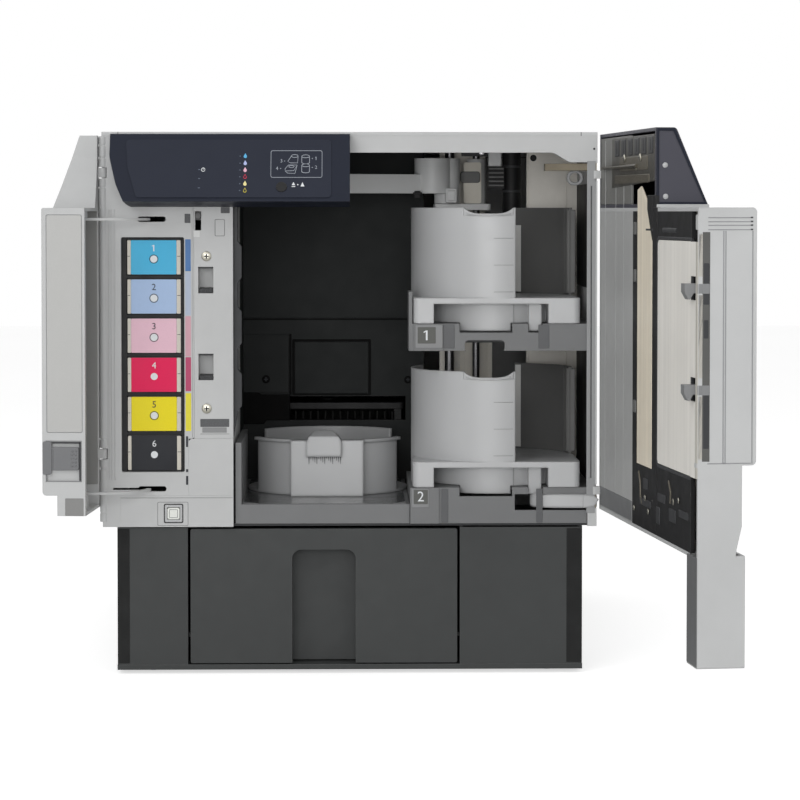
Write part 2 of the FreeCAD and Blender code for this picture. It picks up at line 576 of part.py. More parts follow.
def panel_outline(inset):
    """The panel seen from the front, with its curved left end, inset all round."""
    return [
        (f"0 - {inset}", f"panel_top - {inset}"), (left(f"panel_left + {inset}"), f"panel_top - {inset}"),
        (left(f"panel_left + {inset}"), f"(panel_top + panel_bottom) / 2 + panel_shoulder - {inset}"),
        (left(f"panel_curve_mid + {inset}"), "panel_bottom + panel_curve_rise"),
        (left(f"panel_curve_end + {inset}"), f"panel_foot + {inset}"),
        (f"0 - {inset}", f"panel_foot + {inset}"),
    ]


def panel_wedge(grow):
    """Everything behind the panel's sloped face, moved out by grow."""
    out = f"({grow}) * {SLOPE} / {SLOPE_DROP}"
    top = "panel_top + panel_margin"
    return prism("x", [
        (deep(0), top), (deep(f"{slope_depth(top)} - {out}"), top),
        (deep(f"{slope_depth('panel_bottom')} - {out}"), "panel_bottom"), (deep(0), "panel_foot"),
    ], (left("panel_left - panel_margin"), "panel_margin"))


def along_button(radius, low, high):
    """A cylinder square to the sloped face at the round button, low and high above that face."""
    cylinder = doc.addObject("Part::Cylinder", "Tilted")
    cylinder.Placement = FreeCAD.Placement(
        FreeCAD.Vector(), FreeCAD.Rotation(FreeCAD.Vector(1, 0, 0), 1)
    )
    cylinder.setExpression("Radius", bound(radius))
    cylinder.setExpression("Height", bound(f"({high}) - ({low})"))
    tilt = f"(90 deg - atan({SLOPE_RUN} / {SLOPE_DROP}))"
    cylinder.setExpression("Placement.Rotation.Angle", bound(tilt))
    y = f"{deep(slope_depth('round_button_z'))} - ({low}) * {SLOPE_DROP} / {SLOPE}"
    cylinder.setExpression("Placement.Base.x", bound("round_button_x"))
    cylinder.setExpression("Placement.Base.y", bound(y))
    cylinder.setExpression("Placement.Base.z", bound(f"round_button_z + ({low}) * {SLOPE_RUN} / {SLOPE}"))
    return cylinder


def make_control_panel():
    reach = (deep("-panel_bottom_reach - panel_margin"), deep(0))
    rounds = [(2, "panel_round"), (3, "panel_round"), (4, "edge_round")]
    outside = common(prism("y", panel_outline("0"), reach, rounds), panel_wedge("0"))
    inside = common(prism("y", panel_outline("panel_wall"), (reach[0], deep("past"))),
                    panel_wedge("-panel_wall"))
    bore = "round_button_radius + slide_gap"
    hole = along_button(bore, "-round_button_length", "panel_margin")
    piece("control_panel_shell", [outside], [inside, hole])

    face_outline = prism("y", [
        (left("face_left + face_lean"), "face_bottom"), ("face_right", "face_bottom"),
        ("face_right", "face_top"),
        (left("face_left"), "face_top"), (left("face_left + face_lean_mid"), "(face_top + face_bottom) / 2"),
    ], (reach[0], deep(0)), [(i, "edge_round") for i in range(4)])
    face = common(face_outline, cut(panel_wedge("face_thickness"), [panel_wedge("0")]))
    piece("control_panel_face", [face], [along_button(bore, "-panel_margin", "panel_margin")])

    button = along_button("round_button_radius", "-round_button_length", "round_button_proud")
    flange = along_button("round_button_radius + round_button_flange", "-round_button_length",
                          "-panel_wall - fit_gap - round_button_flange")
    piece("panel_button", [button, flange])


# ---------------------------------------------------------------- disc bay


def bin_span(width):
    """The two x of a width centred on the bin."""
    return (f"bin_x - {width} / 2", f"bin_x + {width} / 2")


def make_bay():
    x, y = (left("bay_left"), "bay_floor_right"), (deep("facing"), deep("bay_depth"))
    skirt_z = (DECK_TOP, "bay_floor")
    piece("chamber_tray", [
        block(x, y, ("bay_floor - bay_plate", "bay_floor")),
        block(x, (y[0], f"{y[0]} + bay_plate"), skirt_z),
        block((f"{x[1]} - bay_plate", x[1]), y, skirt_z),
        block(x, (f"{y[1]} - bay_plate", y[1]), skirt_z),
        block((x[0], f"{x[0]} + bay_plate"), y, skirt_z),
        block((x[0], f"{x[0]} + tray_side_width"), (y[0], deep("tray_side_depth")),
              (DECK_TOP, "tray_side_top")),
    ])
    wall_y = (deep("bay_depth"), deep("bay_depth + bay_plate"))
    back = block((left("column_right - shell_wall"), "bay_wall_right"), wall_y, (DECK_TOP, CEILING))
    side = block((left("column_right - shell_wall"), left("column_right")),
                 (deep("bay_side_light"), deep("bay_depth")), (DECK_TOP, CEILING))
    mouth = block(bin_span("mouth_width"), (f"{wall_y[0]} - past", f"{wall_y[1]} + past"),
                  ("mouth_bottom", "mouth_top"))
    piece("chamber_walls", [back, side], [mouth])


def make_print_unit():
    front = deep("bay_depth + bay_plate")
    x, z = (left("unit_left"), "unit_right"), ("unit_bottom", "unit_top")
    y = (front, f"({BACK} - unit_back_space)")
    room = block(*[(f"{low} + bay_plate", f"{high} - bay_plate") for low, high in (x, y, z)])
    mouth = block(bin_span("mouth_width"), (f"{front} - past", f"{front} + bay_plate + past"),
                  ("mouth_bottom", "mouth_top"))
    tray = bin_span("tray_width")
    rail_y = (f"{y[0]} + bay_plate", f"{y[1]} - bay_plate")
    rail_z = ("unit_bottom", "tray_bottom - fit_gap")
    rails = [
        block((f"{tray[0]} + seam", f"{tray[0]} + seam + rail_width"), rail_y, rail_z),
        block((f"{tray[1]} - seam - rail_width", f"{tray[1]} - seam"), rail_y, rail_z),
    ]
    legs = [
        block((place, f"{place} + rail_width"), (f"{y[0]} + unit_leg_inset", f"{y[1]} - unit_leg_inset"),
              (DECK_TOP, "unit_bottom"))
        for place in (x[0], f"{x[1]} - rail_width")
    ]
    shaft = (deep("tray_depth"), "shaft_z")
    hollow = cut(block(x, y, z), [room, mouth])
    piece("printer_housing", [hollow] + rails + legs,
          [rod("x", shaft, "shaft_radius", (f"{x[0]} - past", f"{x[1]} + past"))])
    piece("printer_guide_shaft", [rod("x", shaft, "shaft_radius", x)])

    half = "tray_width / 2"
    plate = soft_block("z", tray, (deep(f"tray_depth - {half}"), deep(f"tray_depth + {half}")),
                       ("tray_bottom", "tray_bottom + tray_thickness"))
    centre, tray_top = ("bin_x", shaft[0]), "tray_bottom + tray_thickness"
    seat = rod("z", centre, "disc_radius + tray_seat_room",
               (f"{tray_top} - tray_recess", f"{tray_top} + past"))
    spindle = rod("z", centre, "spindle_radius", ("tray_bottom + past", tray_top))
    piece("printer_tray", [cut(plate, [seat]), spindle])

    half = "carriage_length / 2"
    carriage = block(bin_span("carriage_width"), (deep(f"tray_depth - {half}"), deep(f"tray_depth + {half}")),
                     ("carriage_bottom", "carriage_bottom + carriage_height"))
    running = rod("x", shaft, "shaft_radius + rod_clearance",
                  ("bin_x - carriage_width", "bin_x + carriage_width"))
    piece("print_carriage", [carriage], [running])


# ---------------------------------------------------------------- shelves and stackers

TABS = (("tab_left", "tab_width"), ("small_tab_left", "small_tab_width"))


def make_shelves():
    front, back = deep("base_setback"), deep("shelf_depth")
    clear_of_pillar = deep("cover_setback + fit_gap")
    face_right = f"{SIDE} - pillar_width - fit_gap"
    stacker_front = f"stacker_depth - {BIN_OUTER}"
    tab_reach = "base_recess_depth + small_tab_depth + tab_gap"
    arm_z = ("lower_arm_bottom - seam", "lower_arm_bottom + lower_arm_thickness + fit_gap")
    for label, start, top, bottom in (
        ("upper_shelf", "shelf_left", "upper_shelf_top", "upper_shelf_top - upper_shelf_height"),
        ("lower_shelf", "lower_shelf_left", "lower_shelf_top", DECK_TOP),
    ):
        span, plate_z = (bottom, top), (f"{top} - shelf_plate", top)
        solids = [
            block((start, INSIDE), (clear_of_pillar, back), plate_z),
            block((start, face_right), (front, clear_of_pillar), plate_z),
            block((start, face_right), (front, f"{front} + shelf_plate"), span),
            block((start, f"{start} + plaque_width"), (f"{front} - plaque_thickness", front), span),
            block((start, f"{start} + shelf_plate"), (front, back), span),
            block((f"{INSIDE} - shelf_plate", INSIDE), (deep("arm_reach + shelf_end_gap"), back), span),
            block((start, INSIDE), (f"{back} - shelf_plate", back), span),
        ]
        cuts = [
            block((f"{low} - tab_gap", f"{low} + {width} + tab_gap"),
                  (f"{front} - past", deep(f"{stacker_front} + {tab_reach}")),
                  (f"{top} - tab_drop - tab_gap", f"{top} + past"))
            for low, width in TABS
        ]
        if label == "upper_shelf":
            post_y = (front, f"{front} + post_depth")
            solids.append(block((f"{start} - post_width", start), post_y, span))
            solids.append(block((f"{start} - post_width", f"{start} - post_relief"), post_y,
                                (top, f"{bottom} + post_height")))
            arch_x = ("arch_centre - arch_width / 2", "arch_centre + arch_width / 2")
            arch_z = (f"{bottom} - past", f"{bottom} + arch_rise")
            cuts.append(soft_block("y", arch_x, (f"{front} - past", f"{front} + shelf_plate + past"), arch_z))
        else:
            cuts.append(block((right("arm_inner + shelf_arm_room"), INSIDE),
                              (f"{front} - past", deep("arm_reach + shelf_arm_gap")), arm_z))
        piece(label, solids, cuts)


def make_stackers():
    centre = ("stacker_x", deep("stacker_depth"))
    inner, outer = "disc_radius + disc_room", BIN_OUTER
    front = deep(f"stacker_depth - {outer}")
    x = (f"stacker_x - {outer}", f"stacker_x + {outer}")
    keep_radius = f"({outer} - base_recess_depth)"
    for number, shelf in ((1, "upper_shelf_top"), (2, "lower_shelf_top")):
        bottom = f"({shelf} + fit_gap)"
        floor = f"({bottom} + stacker_base_height)"
        rim = f"({floor} + cup_height)"
        plate = prism("z", [
            (x[0], front), (x[1], front), (x[1], centre[1]), (x[0], centre[1]),
        ], (bottom, floor), [(0, "base_round"), (1, "base_round")])
        base = fused([plate, rod("z", centre, outer, (bottom, floor))])
        recess = block((f"{x[0]} + left_post", f"{x[1]} - right_post"), (f"{front} - past", centre[1]),
                       (f"{bottom} - past", f"{floor} - base_bar"))
        keep = rod("z", centre, keep_radius, (bottom, floor))
        tab_z = (f"{bottom} - tab_drop", f"{floor} - base_bar / 2")
        skirt = common(
            ring(centre, f"{keep_radius} - tab_thickness", keep_radius, tab_z),
            block(("tab_left", "tab_left + tab_width"), (front, centre[1]), tab_z),
        )
        small_tab = block(("small_tab_left", "small_tab_left + small_tab_width"),
                          (f"{front} + base_recess_depth", f"{front} + base_recess_depth + small_tab_depth"),
                          tab_z)
        wall = ring(centre, inner, outer, (floor, rim), "cup_sweep", "cup_start")
        notch = block(("notch_x - notch_width / 2", "notch_x + notch_width / 2"),
                      (f"{front} - past", deep("stacker_depth - disc_radius / 2")),
                      (f"{rim} - notch_depth", f"{rim} + past"))
        piece(f"stacker_{number}_cup", [cut(base, [recess]), keep, skirt, small_tab, wall], [notch])
        piece(f"stacker_{number}_guide", [
            ring(centre, inner, outer, (floor, rim), "guide_sweep", "guide_start"),
        ])


def make_bin():
    centre = ("bin_x", deep(BIN_DEPTH))
    inner, outer, bottom = "disc_radius + disc_room", BIN_OUTER, "(bay_floor + fit_gap)"
    floor, rim = f"({bottom} + bin_floor)", f"({bottom} + bin_height)"
    front_wall = ring(centre, inner, outer, (bottom, rim), "bin_front_half * 2", "270 - bin_front_half")
    back_wall = ring(centre, inner, outer, (bottom, f"{rim} + bin_back_extra"),
                     "bin_back_half * 2", "90 - bin_back_half")
    flange = ring(centre, inner, f"({outer} + flange_reach)", (f"{rim} - flange_height", rim),
                  "(bin_front_half + flange_turn) * 2", "270 - bin_front_half - flange_turn")
    plate = rod("z", centre, outer, (bottom, floor))
    bulge_front = deep(f"{BIN_DEPTH} - {outer} - bulge_reach")
    bulge = block(bin_span("bulge_width"), (bulge_front, centre[1]), (bottom, rim))
    hollow = rod("z", centre, inner, (floor, f"{rim} + bin_height"))

    hood_x = ("bin_x - hood_offset - hood_width / 2", "bin_x - hood_offset + hood_width / 2")
    hood_y = (f"{bulge_front} - hood_reach", deep(f"{BIN_DEPTH} - {inner}"))
    low, high = f"{bottom} + hood_bottom", f"{bottom} + hood_back_top"
    arched = prism("y", [
        (hood_x[0], low), (hood_x[1], low), (hood_x[1], high), (hood_x[0], high),
    ], hood_y, [(2, "hood_round"), (3, "hood_round")])
    sloped = prism("x", [
        (hood_y[0], high), (hood_y[0], low), (hood_y[1], low), (hood_y[1], high),
    ], (f"{hood_x[0]} - past", f"{hood_x[1]} + past"))
    bevel = prism("x", [
        (f"{hood_y[0]} - past", f"{high} + past"), (f"{hood_y[0]} - past", f"{bottom} + hood_front_top"),
        (hood_y[0], f"{bottom} + hood_front_top"), (hood_y[1], high), (hood_y[1], f"{high} + past"),
    ], (f"{hood_x[0]} - past", f"{hood_x[1]} + past"))
    hood = cut(common(arched, sloped), [bevel])
    body = cut(fused([plate, front_wall, back_wall, flange, bulge]), [hollow])
    piece("stacker_3_bin", [body, hood])


# ---------------------------------------------------------------- lift and transfer arm


def make_lift():
    hub = ("hub_x", deep("hub_depth"))
    lift = ("hub_x + rod_step", deep("rod_depth"))
    guide = ("hub_x + rod_step + guide_rod_step", deep("rod_depth"))
    rods_z = (DECK_TOP, CEILING)
    head = block(("frame_left", "frame_right"),
                 (deep("motor_depth - motor_radius - frame_plate"), deep("frame_back")),
                 (f"{CEILING} - frame_plate", CEILING))
    foot = block(("frame_left", f"{guide[0]} + frame_foot"),
                 (deep("rod_depth - frame_foot"), deep("frame_back")),
                 (DECK_TOP, f"{DECK_TOP} + frame_plate"))
    spine = block((f"{lift[0]} - spine_side", f"{guide[0]} + spine_side"),
                  (deep("frame_back - frame_plate"), deep("frame_back")), rods_z)
    rods = [rod("z", lift, "rod_radius", rods_z), rod("z", guide, "guide_rod_radius", rods_z)]
    seats = [rod("z", lift, "rod_radius", rods_z), rod("z", guide, "guide_rod_radius", rods_z)]
    piece("lift_frame", [head, foot, spine], seats)
    piece("lift_rods", rods)

    motor = rod("z", ("motor_x", deep("motor_depth")), "motor_radius",
                ("motor_bottom", f"{CEILING} - frame_plate"))
    box_right = "motor_x - motor_radius + gearbox_overlap"
    gearbox = block((f"{box_right} - gearbox_width", box_right),
                    (deep("motor_depth - motor_radius"), deep("motor_depth + motor_radius")),
                    ("gearbox_bottom", "gearbox_top"))
    piece("lift_motor", [motor, gearbox])

    pad_top = "hub_bottom - fit_gap"
    pad = soft_block("z", ("hub_x - hub_radius", f"{guide[0]} + hub_radius"),
                     (deep("hub_depth - hub_radius"), deep("rod_depth + rod_sleeve")),
                     (f"{pad_top} - carriage_thickness", pad_top), "edge_round")
    pivot = rod("z", hub, "pivot_radius", (pad_top, "hub_top + fit_gap"))
    sleeves = [rod("z", place, "rod_sleeve", (pad_top, "hub_top")) for place in (lift, guide)]
    bore_z = (f"{pad_top} - carriage_thickness - past", "hub_top + past")
    bores = [
        rod("z", lift, "rod_radius + rod_clearance", bore_z),
        rod("z", guide, "guide_rod_radius + rod_clearance", bore_z),
    ]
    piece("lift_carriage", [pad, pivot] + sleeves, bores)

    reach_x, reach_y = "(bin_x - hub_x)", f"({BIN_DEPTH} - hub_depth)"
    length = f"sqrt({reach_x} ^ 2 + {reach_y} ^ 2)"
    turn = f"(180 deg + atan({reach_y} / {reach_x}))"
    beam = doc.addObject("Part::Box", "Beam")
    beam.Placement = FreeCAD.Placement(FreeCAD.Vector(), FreeCAD.Rotation(FreeCAD.Vector(0, 0, 1), 1))
    beam.setExpression("Length", bound(length))
    beam.setExpression("Width", bound("arm_width"))
    beam.setExpression("Height", bound("arm_top - arm_bottom"))
    beam.setExpression("Placement.Rotation.Angle", bound(turn))
    beam.setExpression("Placement.Base.x", bound(f"hub_x + arm_width / 2 * sin({turn})"))
    beam.setExpression("Placement.Base.y", bound(f"{hub[1]} - arm_width / 2 * cos({turn})"))
    beam.setExpression("Placement.Base.z", bound("arm_bottom"))
    shroud_centre = (f"hub_x + shroud_step * {reach_x} / {length}",
                     f"{hub[1]} + shroud_step * {reach_y} / {length}")
    shroud = rod("z", shroud_centre, "shroud_radius", ("arm_bottom", "hub_top"))
    tip = ("bin_x", deep(BIN_DEPTH))
    gripper = rod("z", tip, "gripper_radius", ("arm_bottom", "arm_top"))
    core = rod("z", tip, "gripper_core", ("arm_bottom - gripper_drop", "arm_bottom"))
    sleeve = rod("z", hub, "hub_radius", ("hub_bottom", "hub_top"))
    piece("transfer_arm", [beam, shroud, gripper, core, sleeve],
          [rod("z", hub, "pivot_radius + rod_clearance", ("hub_bottom - past", "hub_top + past"))])

    rear_y = (deep("rear_plate_depth"), deep("rear_plate_depth + bay_plate"))
    sight = rod("y", ("sight_x", "sight_z"), "sight_radius", (f"{rear_y[0]} - past", f"{rear_y[1]} + past"))
    piece("bay_rear_plate", [block(("frame_right + seam", INSIDE), rear_y, (DECK_TOP, CEILING))], [sight])


# ---------------------------------------------------------------- disc door


def make_hinge_arms():
    upper_top = "upper_arm_bottom + upper_arm_thickness"
    lower_top = "lower_arm_bottom + lower_arm_thickness"
    pin = "lug_height + pin_end"
    lug_side, nose = f"{HINGE} - lug_radius", f"{HINGE} + arm_nose"
    solids = []
    for span, pin_span in (
        (("upper_arm_bottom", upper_top), (f"upper_arm_bottom - {pin}", "upper_arm_bottom")),
        (("lower_arm_bottom", lower_top), (lower_top, f"{lower_top} + {pin}")),
    ):
        solids.append(prism("z", [
            (right("arm_inner"), deep("arm_reach")), (right("arm_inner"), deep("arm_reach - arm_strip")),
            (f"{SIDE} - pillar_width", deep("cover_setback + fit_gap")),
            (lug_side, deep("cover_setback + fit_gap")), (lug_side, deep("hinge_depth - seam")),
            (nose, deep("hinge_depth - seam")), (nose, deep("cover_setback - fit_gap")),
            (INSIDE, deep("cover_setback - fit_gap")), (INSIDE, deep("arm_reach")),
        ], span))
        solids.append(rod("z", (HINGE, deep("hinge_depth")), "pin_radius", pin_span))
    piece("door_hinge_arms", solids)


def door_profile(inset, inner):
    """The door's section seen from its end, up to the dark band."""
    out, low, toe = (f"-({v} - {inset})" for v in ("door_outer", "door_low_outer", "door_foot_outer"))
    bottom, top = f"door_bottom + {inset}", f"door_top - {inset}"
    return [
        (deep(inner), bottom), (deep(toe), bottom), (deep(toe), "door_taper_bottom"),
        (deep(low), "door_taper_top"), (deep(low), f"door_step + {inset}"),
        (deep(out), f"door_step + {inset}"), (deep(out), top), (deep(inner), top),
    ]


def make_door_shell():
    start, skin = left("door_left"), (deep("-door_outer - past"), deep("-door_outer + door_wall + past"))
    outside = prism("x", door_profile("0", "-door_inner"), (start, SIDE),
                    [(5, "edge_round"), (6, "edge_round")])
    inside = prism("x", door_profile("door_wall", "0"), (f"{start} + door_wall", f"{SIDE} - door_wall"))
    leg_right = f"{start} + leg_width"
    leg = soft_block("y", (start, leg_right), (deep("-leg_outer"), deep("-door_inner")),
                     ("leg_bottom", "door_bottom + door_wall"), "small_round")
    leg_room = block((f"{start} + door_wall", f"{leg_right} - door_wall"),
                     (deep("-leg_outer + door_wall"), deep(0)),
                     ("leg_bottom + door_wall", "door_bottom + door_wall + past"))
    main = block((left("window_left"), "window_right"), skin, ("window_bottom", "window_top"))
    slit = block(("slit_left", "slit_right"), skin, ("window_bottom", "slit_top"))
    floor = deep("-latch_front - latch_bar_depth - fit_gap")
    channel = block((f"{start} + door_wall", left("latch_left + latch_width + channel_side")),
                    (f"{floor} - channel_floor", floor),
                    ("latch_bottom - channel_end", "latch_top + channel_end"))
    piece("door_shell", [cut(fused([cut(outside, [inside]), leg]), [leg_room, main, slit]), channel],
          swing="door")
    return floor


def make_door_linings(channel_floor):
    y = (deep("-door_inner - liner"), deep("-door_inner"))
    z = ("door_bottom + door_wall", "door_top - door_wall")
    start = left("latch_left + latch_width + channel_side")
    frame = block((start, "light_liner_left"), y, z)
    hole_y = (f"{y[0]} - past", f"{y[1]} + past")
    holes = [
        block((left("window_left"), "window_right"), hole_y, ("window_bottom - window_drop", "window_top")),
        block(("slit_left", "slit_right"), hole_y, ("window_bottom - slit_drop", "slit_top")),
    ]
    rib = block((start, f"{start} + seam"), (f"{channel_floor} - past", y[1]),
                ("latch_bottom - channel_end", "latch_top + channel_end"))
    piece("door_inner_frame", [frame, rib], holes, swing="door")
    piece("door_hinge_panel", [
        block(("light_liner_left", f"{SIDE} - door_wall"), y, z),
        block(("light_liner_left + panel_edge", f"{SIDE} - door_wall - panel_edge"),
              (y[0], f"{y[0]} + panel_raise"), (f"{z[0]} + panel_edge", f"{z[1]} - panel_edge")),
    ], swing="door")
    pane_y = (deep("-door_outer + door_wall"), deep("-door_outer + door_wall + pane_thickness"))
    piece("door_window", [
        block((left("window_left - pane_lap"), "window_right + pane_lap"), pane_y,
              ("window_bottom", "window_top + pane_lap")),
        block(("slit_left - pane_lap", "slit_right + pane_lap"), pane_y,
              ("window_bottom", "slit_top + pane_lap")),
    ], swing="door")


def band(inset, x, rounds=()):
    """The dark band over the door: a wedge that leans back to its top edge."""
    inner = deep(f"-door_inner + {inset}")
    return prism("x", [
        (inner, f"band_top - {inset}"), (deep(f"-(band_top_outer - {inset})"), f"band_top - {inset}"),
        (deep(f"-(band_bottom_outer - {inset})"), f"door_top + {inset}"), (inner, f"door_top + {inset}"),
    ], x, rounds)


def make_door():
    channel_floor = make_door_shell()
    make_door_linings(channel_floor)
    piece("door_band", [band("0", ("seam", SIDE), [(1, "edge_round")])],
          [band("door_wall", ("seam + door_wall", f"{SIDE} - door_wall"))], swing="door")

    pivot = (HINGE, deep("hinge_depth"))
    lugs = []
    for low in ("upper_arm_bottom - fit_gap - lug_height",
                "lower_arm_bottom + lower_arm_thickness + fit_gap"):
        span = (low, f"{low} + lug_height")
        lugs.append(rod("z", pivot, "lug_radius", span))
        lugs.append(block((f"{HINGE} - lug_radius", f"{HINGE} + hinge_inset"),
                          (deep("-door_inner"), deep("hinge_depth")), span))
    bores = [rod("z", pivot, "pin_radius + rod_clearance",
                 ("lower_arm_bottom", "upper_arm_bottom + upper_arm_thickness"))]
    piece("door_hinge_lugs", lugs, bores, swing="door")

    x = (left("latch_left"), left("latch_left + latch_width"))
    solids = [block(x, (deep("-latch_front - latch_bar_depth"), deep("-latch_front")),
                    ("latch_bottom", "latch_top"))]
    for z in ("keeper_upper", "keeper_lower"):
        low, high = f"{z} - hook_height / 2", f"{z} + hook_height / 2"
        solids.append(block(x, (deep("-latch_front"), deep("hook_reach")), (f"{low} + hook_drop", high)))
        solids.append(block(x, (deep("hook_reach - hook_tip"), deep("hook_reach")), (low, high)))
    piece("door_latch", solids, swing="door")


# ---------------------------------------------------------------- ink cover


def ink_profile(inset, inner):
    """The ink cover's section seen from its end, with its foot set back."""
    out, toe = f"-(ink_outer - {inset})", f"-(ink_foot_outer - {inset})"
    return [
        (deep(inner), f"ink_bottom + {inset}"), (deep(toe), f"ink_bottom + {inset}"),
        (deep(toe), f"ink_foot_top + {inset}"), (deep(out), f"ink_foot_top + {inset}"),
        (deep(out), f"ink_top - {inset}"), (deep(inner), f"ink_top - {inset}"),
    ]


def make_ink_cover():
    side, end = f"-{SIDE}", left("ink_right")
    outside = prism("x", ink_profile("0", "-door_inner"), (side, end),
                    [(3, "edge_round"), (4, "small_round")])
    inside = prism("x", ink_profile("ink_wall", "0"), (f"{side} + ink_wall", f"{end} - ink_wall * 2"))
    foot = "ink_top - ink_wall"
    ear_outline = prism("y", [
        (side, foot), (f"{side} + ear_bottom_width", foot),
        (f"{side} + ear_waist_width", "ink_top + ear_waist"),
        (f"{side} + ear_top_width", "ink_top + ear_neck"),
        (f"{side} + ear_top_width", "ear_top"), (side, "ear_top"),
    ], (deep("-ink_outer"), deep("-door_inner")), [(2, "ear_round"), (3, "ear_round"), (5, "edge_round")])
    ear_wedge = prism("x", [
        (deep("-door_inner"), "ear_top + past"), (deep("-ear_top_outer"), "ear_top + past"),
        (deep("-ink_outer"), "ink_top"), (deep("-ink_outer"), "ink_top - ink_wall * 2"),
        (deep("-door_inner"), "ink_top - ink_wall * 2"),
    ], (f"{side} - past", f"{side} + ear_bottom_width + past"))

    near, far = "-door_inner - ink_latch_setback", "-door_inner - ink_latch_width - ink_latch_setback"
    pocket = block((f"{end} - ink_latch_thickness - fit_gap", f"{end} + past"), (deep(far), deep(near)),
                   ("ink_latch_bottom - ink_latch_travel - fit_gap",
                    "ink_latch_bottom + ink_latch_height + fit_gap"))
    pivot = (f"-{HINGE}", deep("hinge_depth"))
    lugs, bores = [], []
    for z in ("ink_hinge_upper", "ink_hinge_lower"):
        span = (f"{z} - ink_lug_height / 2", f"{z} + ink_lug_height / 2")
        lugs.append(rod("z", pivot, "ink_lug_radius", span))
        lugs.append(block((f"-{HINGE} - hinge_inset", f"-{HINGE} + ink_lug_radius"),
                          (deep("-door_inner - past"), deep("hinge_depth")), span))
        bores.append(rod("z", pivot, "ink_pin_radius + rod_clearance", span))
    piece("ink_cover_shell", [cut(outside, [inside]), common(ear_outline, ear_wedge)] + lugs,
          [pocket] + bores, swing="ink")

    arc = f"(-{HINGE} + strut_radius)"
    inner, outer = "strut_radius - strut_width / 2", "strut_radius + strut_width / 2"
    stem_y = (deep("-door_inner - strut_stem"), deep("hinge_depth"))
    foot_y = (stem_y[0], f"{stem_y[0]} + strut_foot_thickness")
    solids = []
    for z, foot_z in (
        ("arm_slot_upper", ("arm_slot_upper - strut_thickness / 2", "ink_top - ink_wall")),
        ("arm_slot_lower", ("ink_bottom + ink_wall", "arm_slot_lower + strut_thickness / 2")),
    ):
        span = (f"{z} - strut_thickness / 2", f"{z} + strut_thickness / 2")
        solids.append(ring(pivot, inner, outer, span, "strut_sweep", "0"))
        solids.append(block((f"{arc} - strut_width / 2", f"{arc} + strut_width / 2"), stem_y, span))
        solids.append(block((f"{arc} - strut_foot", f"{arc} + strut_foot"), foot_y, foot_z))
    piece("ink_cover_arms", solids, swing="ink")

    lever_x = (f"{end} - ink_latch_thickness", f"{end} - ink_latch_sink")
    lever_y = (deep(f"{far} + fit_gap"), deep(f"{near} - fit_gap"))
    lever = soft_block("x", lever_x, lever_y,
                       ("ink_latch_bottom", "ink_latch_bottom + ink_latch_height"), "small_round")
    waist = block((f"{lever_x[0]} - past", f"{lever_x[1]} + past"),
                  (f"{lever_y[0]} - past", f"{lever_y[0]} + ink_latch_waist"),
                  ("ink_latch_bottom - past", "ink_latch_bottom + ink_latch_shoulder"))
    piece("ink_latch", [lever], [waist], swing="ink")


# ---------------------------------------------------------------- electronics


def make_electronics():
    supply_y = (deep("supply_front"), deep("supply_front + supply_length"))
    piece("power_supply", [
        block((f"-{BASE_SIDE} + base_wall + seam", f"{WELL_LEFT} - well_wall - seam"), supply_y,
              ("base_floor", "base_floor + supply_height")),
    ])

    inside_back = f"({BACK} - shell_wall)"
    x = (right("board_right + board_width"), right("board_right"))
    y = (f"({inside_back} - board_length)", inside_back)
    board = block(x, y, ("socket_z - board_height", "socket_z"))
    legs = [
        block((leg_x, f"{leg_x} + board_leg"), (leg_y, f"{leg_y} + board_leg"),
              (DECK_TOP, "socket_z - board_height"))
        for leg_x in (f"{x[0]} + board_leg_inset", f"{x[1]} - board_leg_inset - board_leg")
        for leg_y in (f"{y[0]} + board_leg_inset", f"{y[1]} - board_edge")
    ]
    plug_back = f"{BACK} - plug_setback"
    sockets, holes = [], []
    for place, width, height, wall, length, hollow in (
        ("socket_right", "socket_width", "socket_height", "socket_wall", "socket_length", "socket_hollow"),
        ("port_right", "port_width", "port_width", "port_wall", "port_length", "port_hollow"),
    ):
        sockets.append(block((right(f"{place} - fit_gap / 2"), right(f"{place} - {width} + fit_gap / 2")),
                             (f"{BACK} - {length}", plug_back),
                             ("socket_z", f"socket_z + {height} - fit_gap / 2")))
        holes.append(block((right(f"{place} - {wall}"), right(f"{place} - {width} + {wall}")),
                           (f"{BACK} - {hollow}", f"{BACK} + past"),
                           (f"socket_z + {wall}", f"socket_z + {height} - {wall}")))
    piece("main_board", [board] + legs + sockets, holes)


make_base()
make_drawer()
make_shells()
make_ink_bay()
make_column()
make_sill()
make_control_panel()
make_bay()
make_print_unit()
make_shelves()
make_stackers()
make_bin()
make_lift()
make_hinge_arms()
make_door()
make_ink_cover()
make_electronics()

# ---------------------------------------------------------------- check and write

doc.recompute()
faults = [f"{o.Label}: {o.State}" for o in doc.Objects if {"Invalid", "Error"} & set(o.State)]
for solid in PIECES:
    if solid.Shape.isNull() or not solid.Shape.isValid() or not solid.Shape.Solids:
        faults.append(f"{solid.Label}: no valid shape")
if faults:
    raise RuntimeError("; ".join(faults))

os.makedirs("parts", exist_ok=True)
for solid in PIECES:
    solid.Shape.exportStep(f"parts/{solid.Label}.step")
    box = solid.Shape.BoundBox
    spans = ((box.XMin, box.XMax), (box.YMin, box.YMax), (box.ZMin, box.ZMax))
    print(f"{solid.Label:22s} solids {len(solid.Shape.Solids)} volume {solid.Shape.Volume:12.1f} "
          + " ".join(f"{low:8.1f} {high:8.1f}" for low, high in spans))
print(len(PIECES), "pieces")
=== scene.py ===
# %% [markdown]
# # Disc label printer: finishes and small detail
# The solids of the printer come from the CAD frame. This file gives each one a finish, adds the thin
# or fine things that solids leave out, such as labels, lamps, screws and ribbons, and sets a camera
# and soft lamps. Everything is written in millimetres and turned to metres where a mesh is made.

# %% Load the solids
import math

import bmesh
import bpy
from mathutils import Matrix, Vector


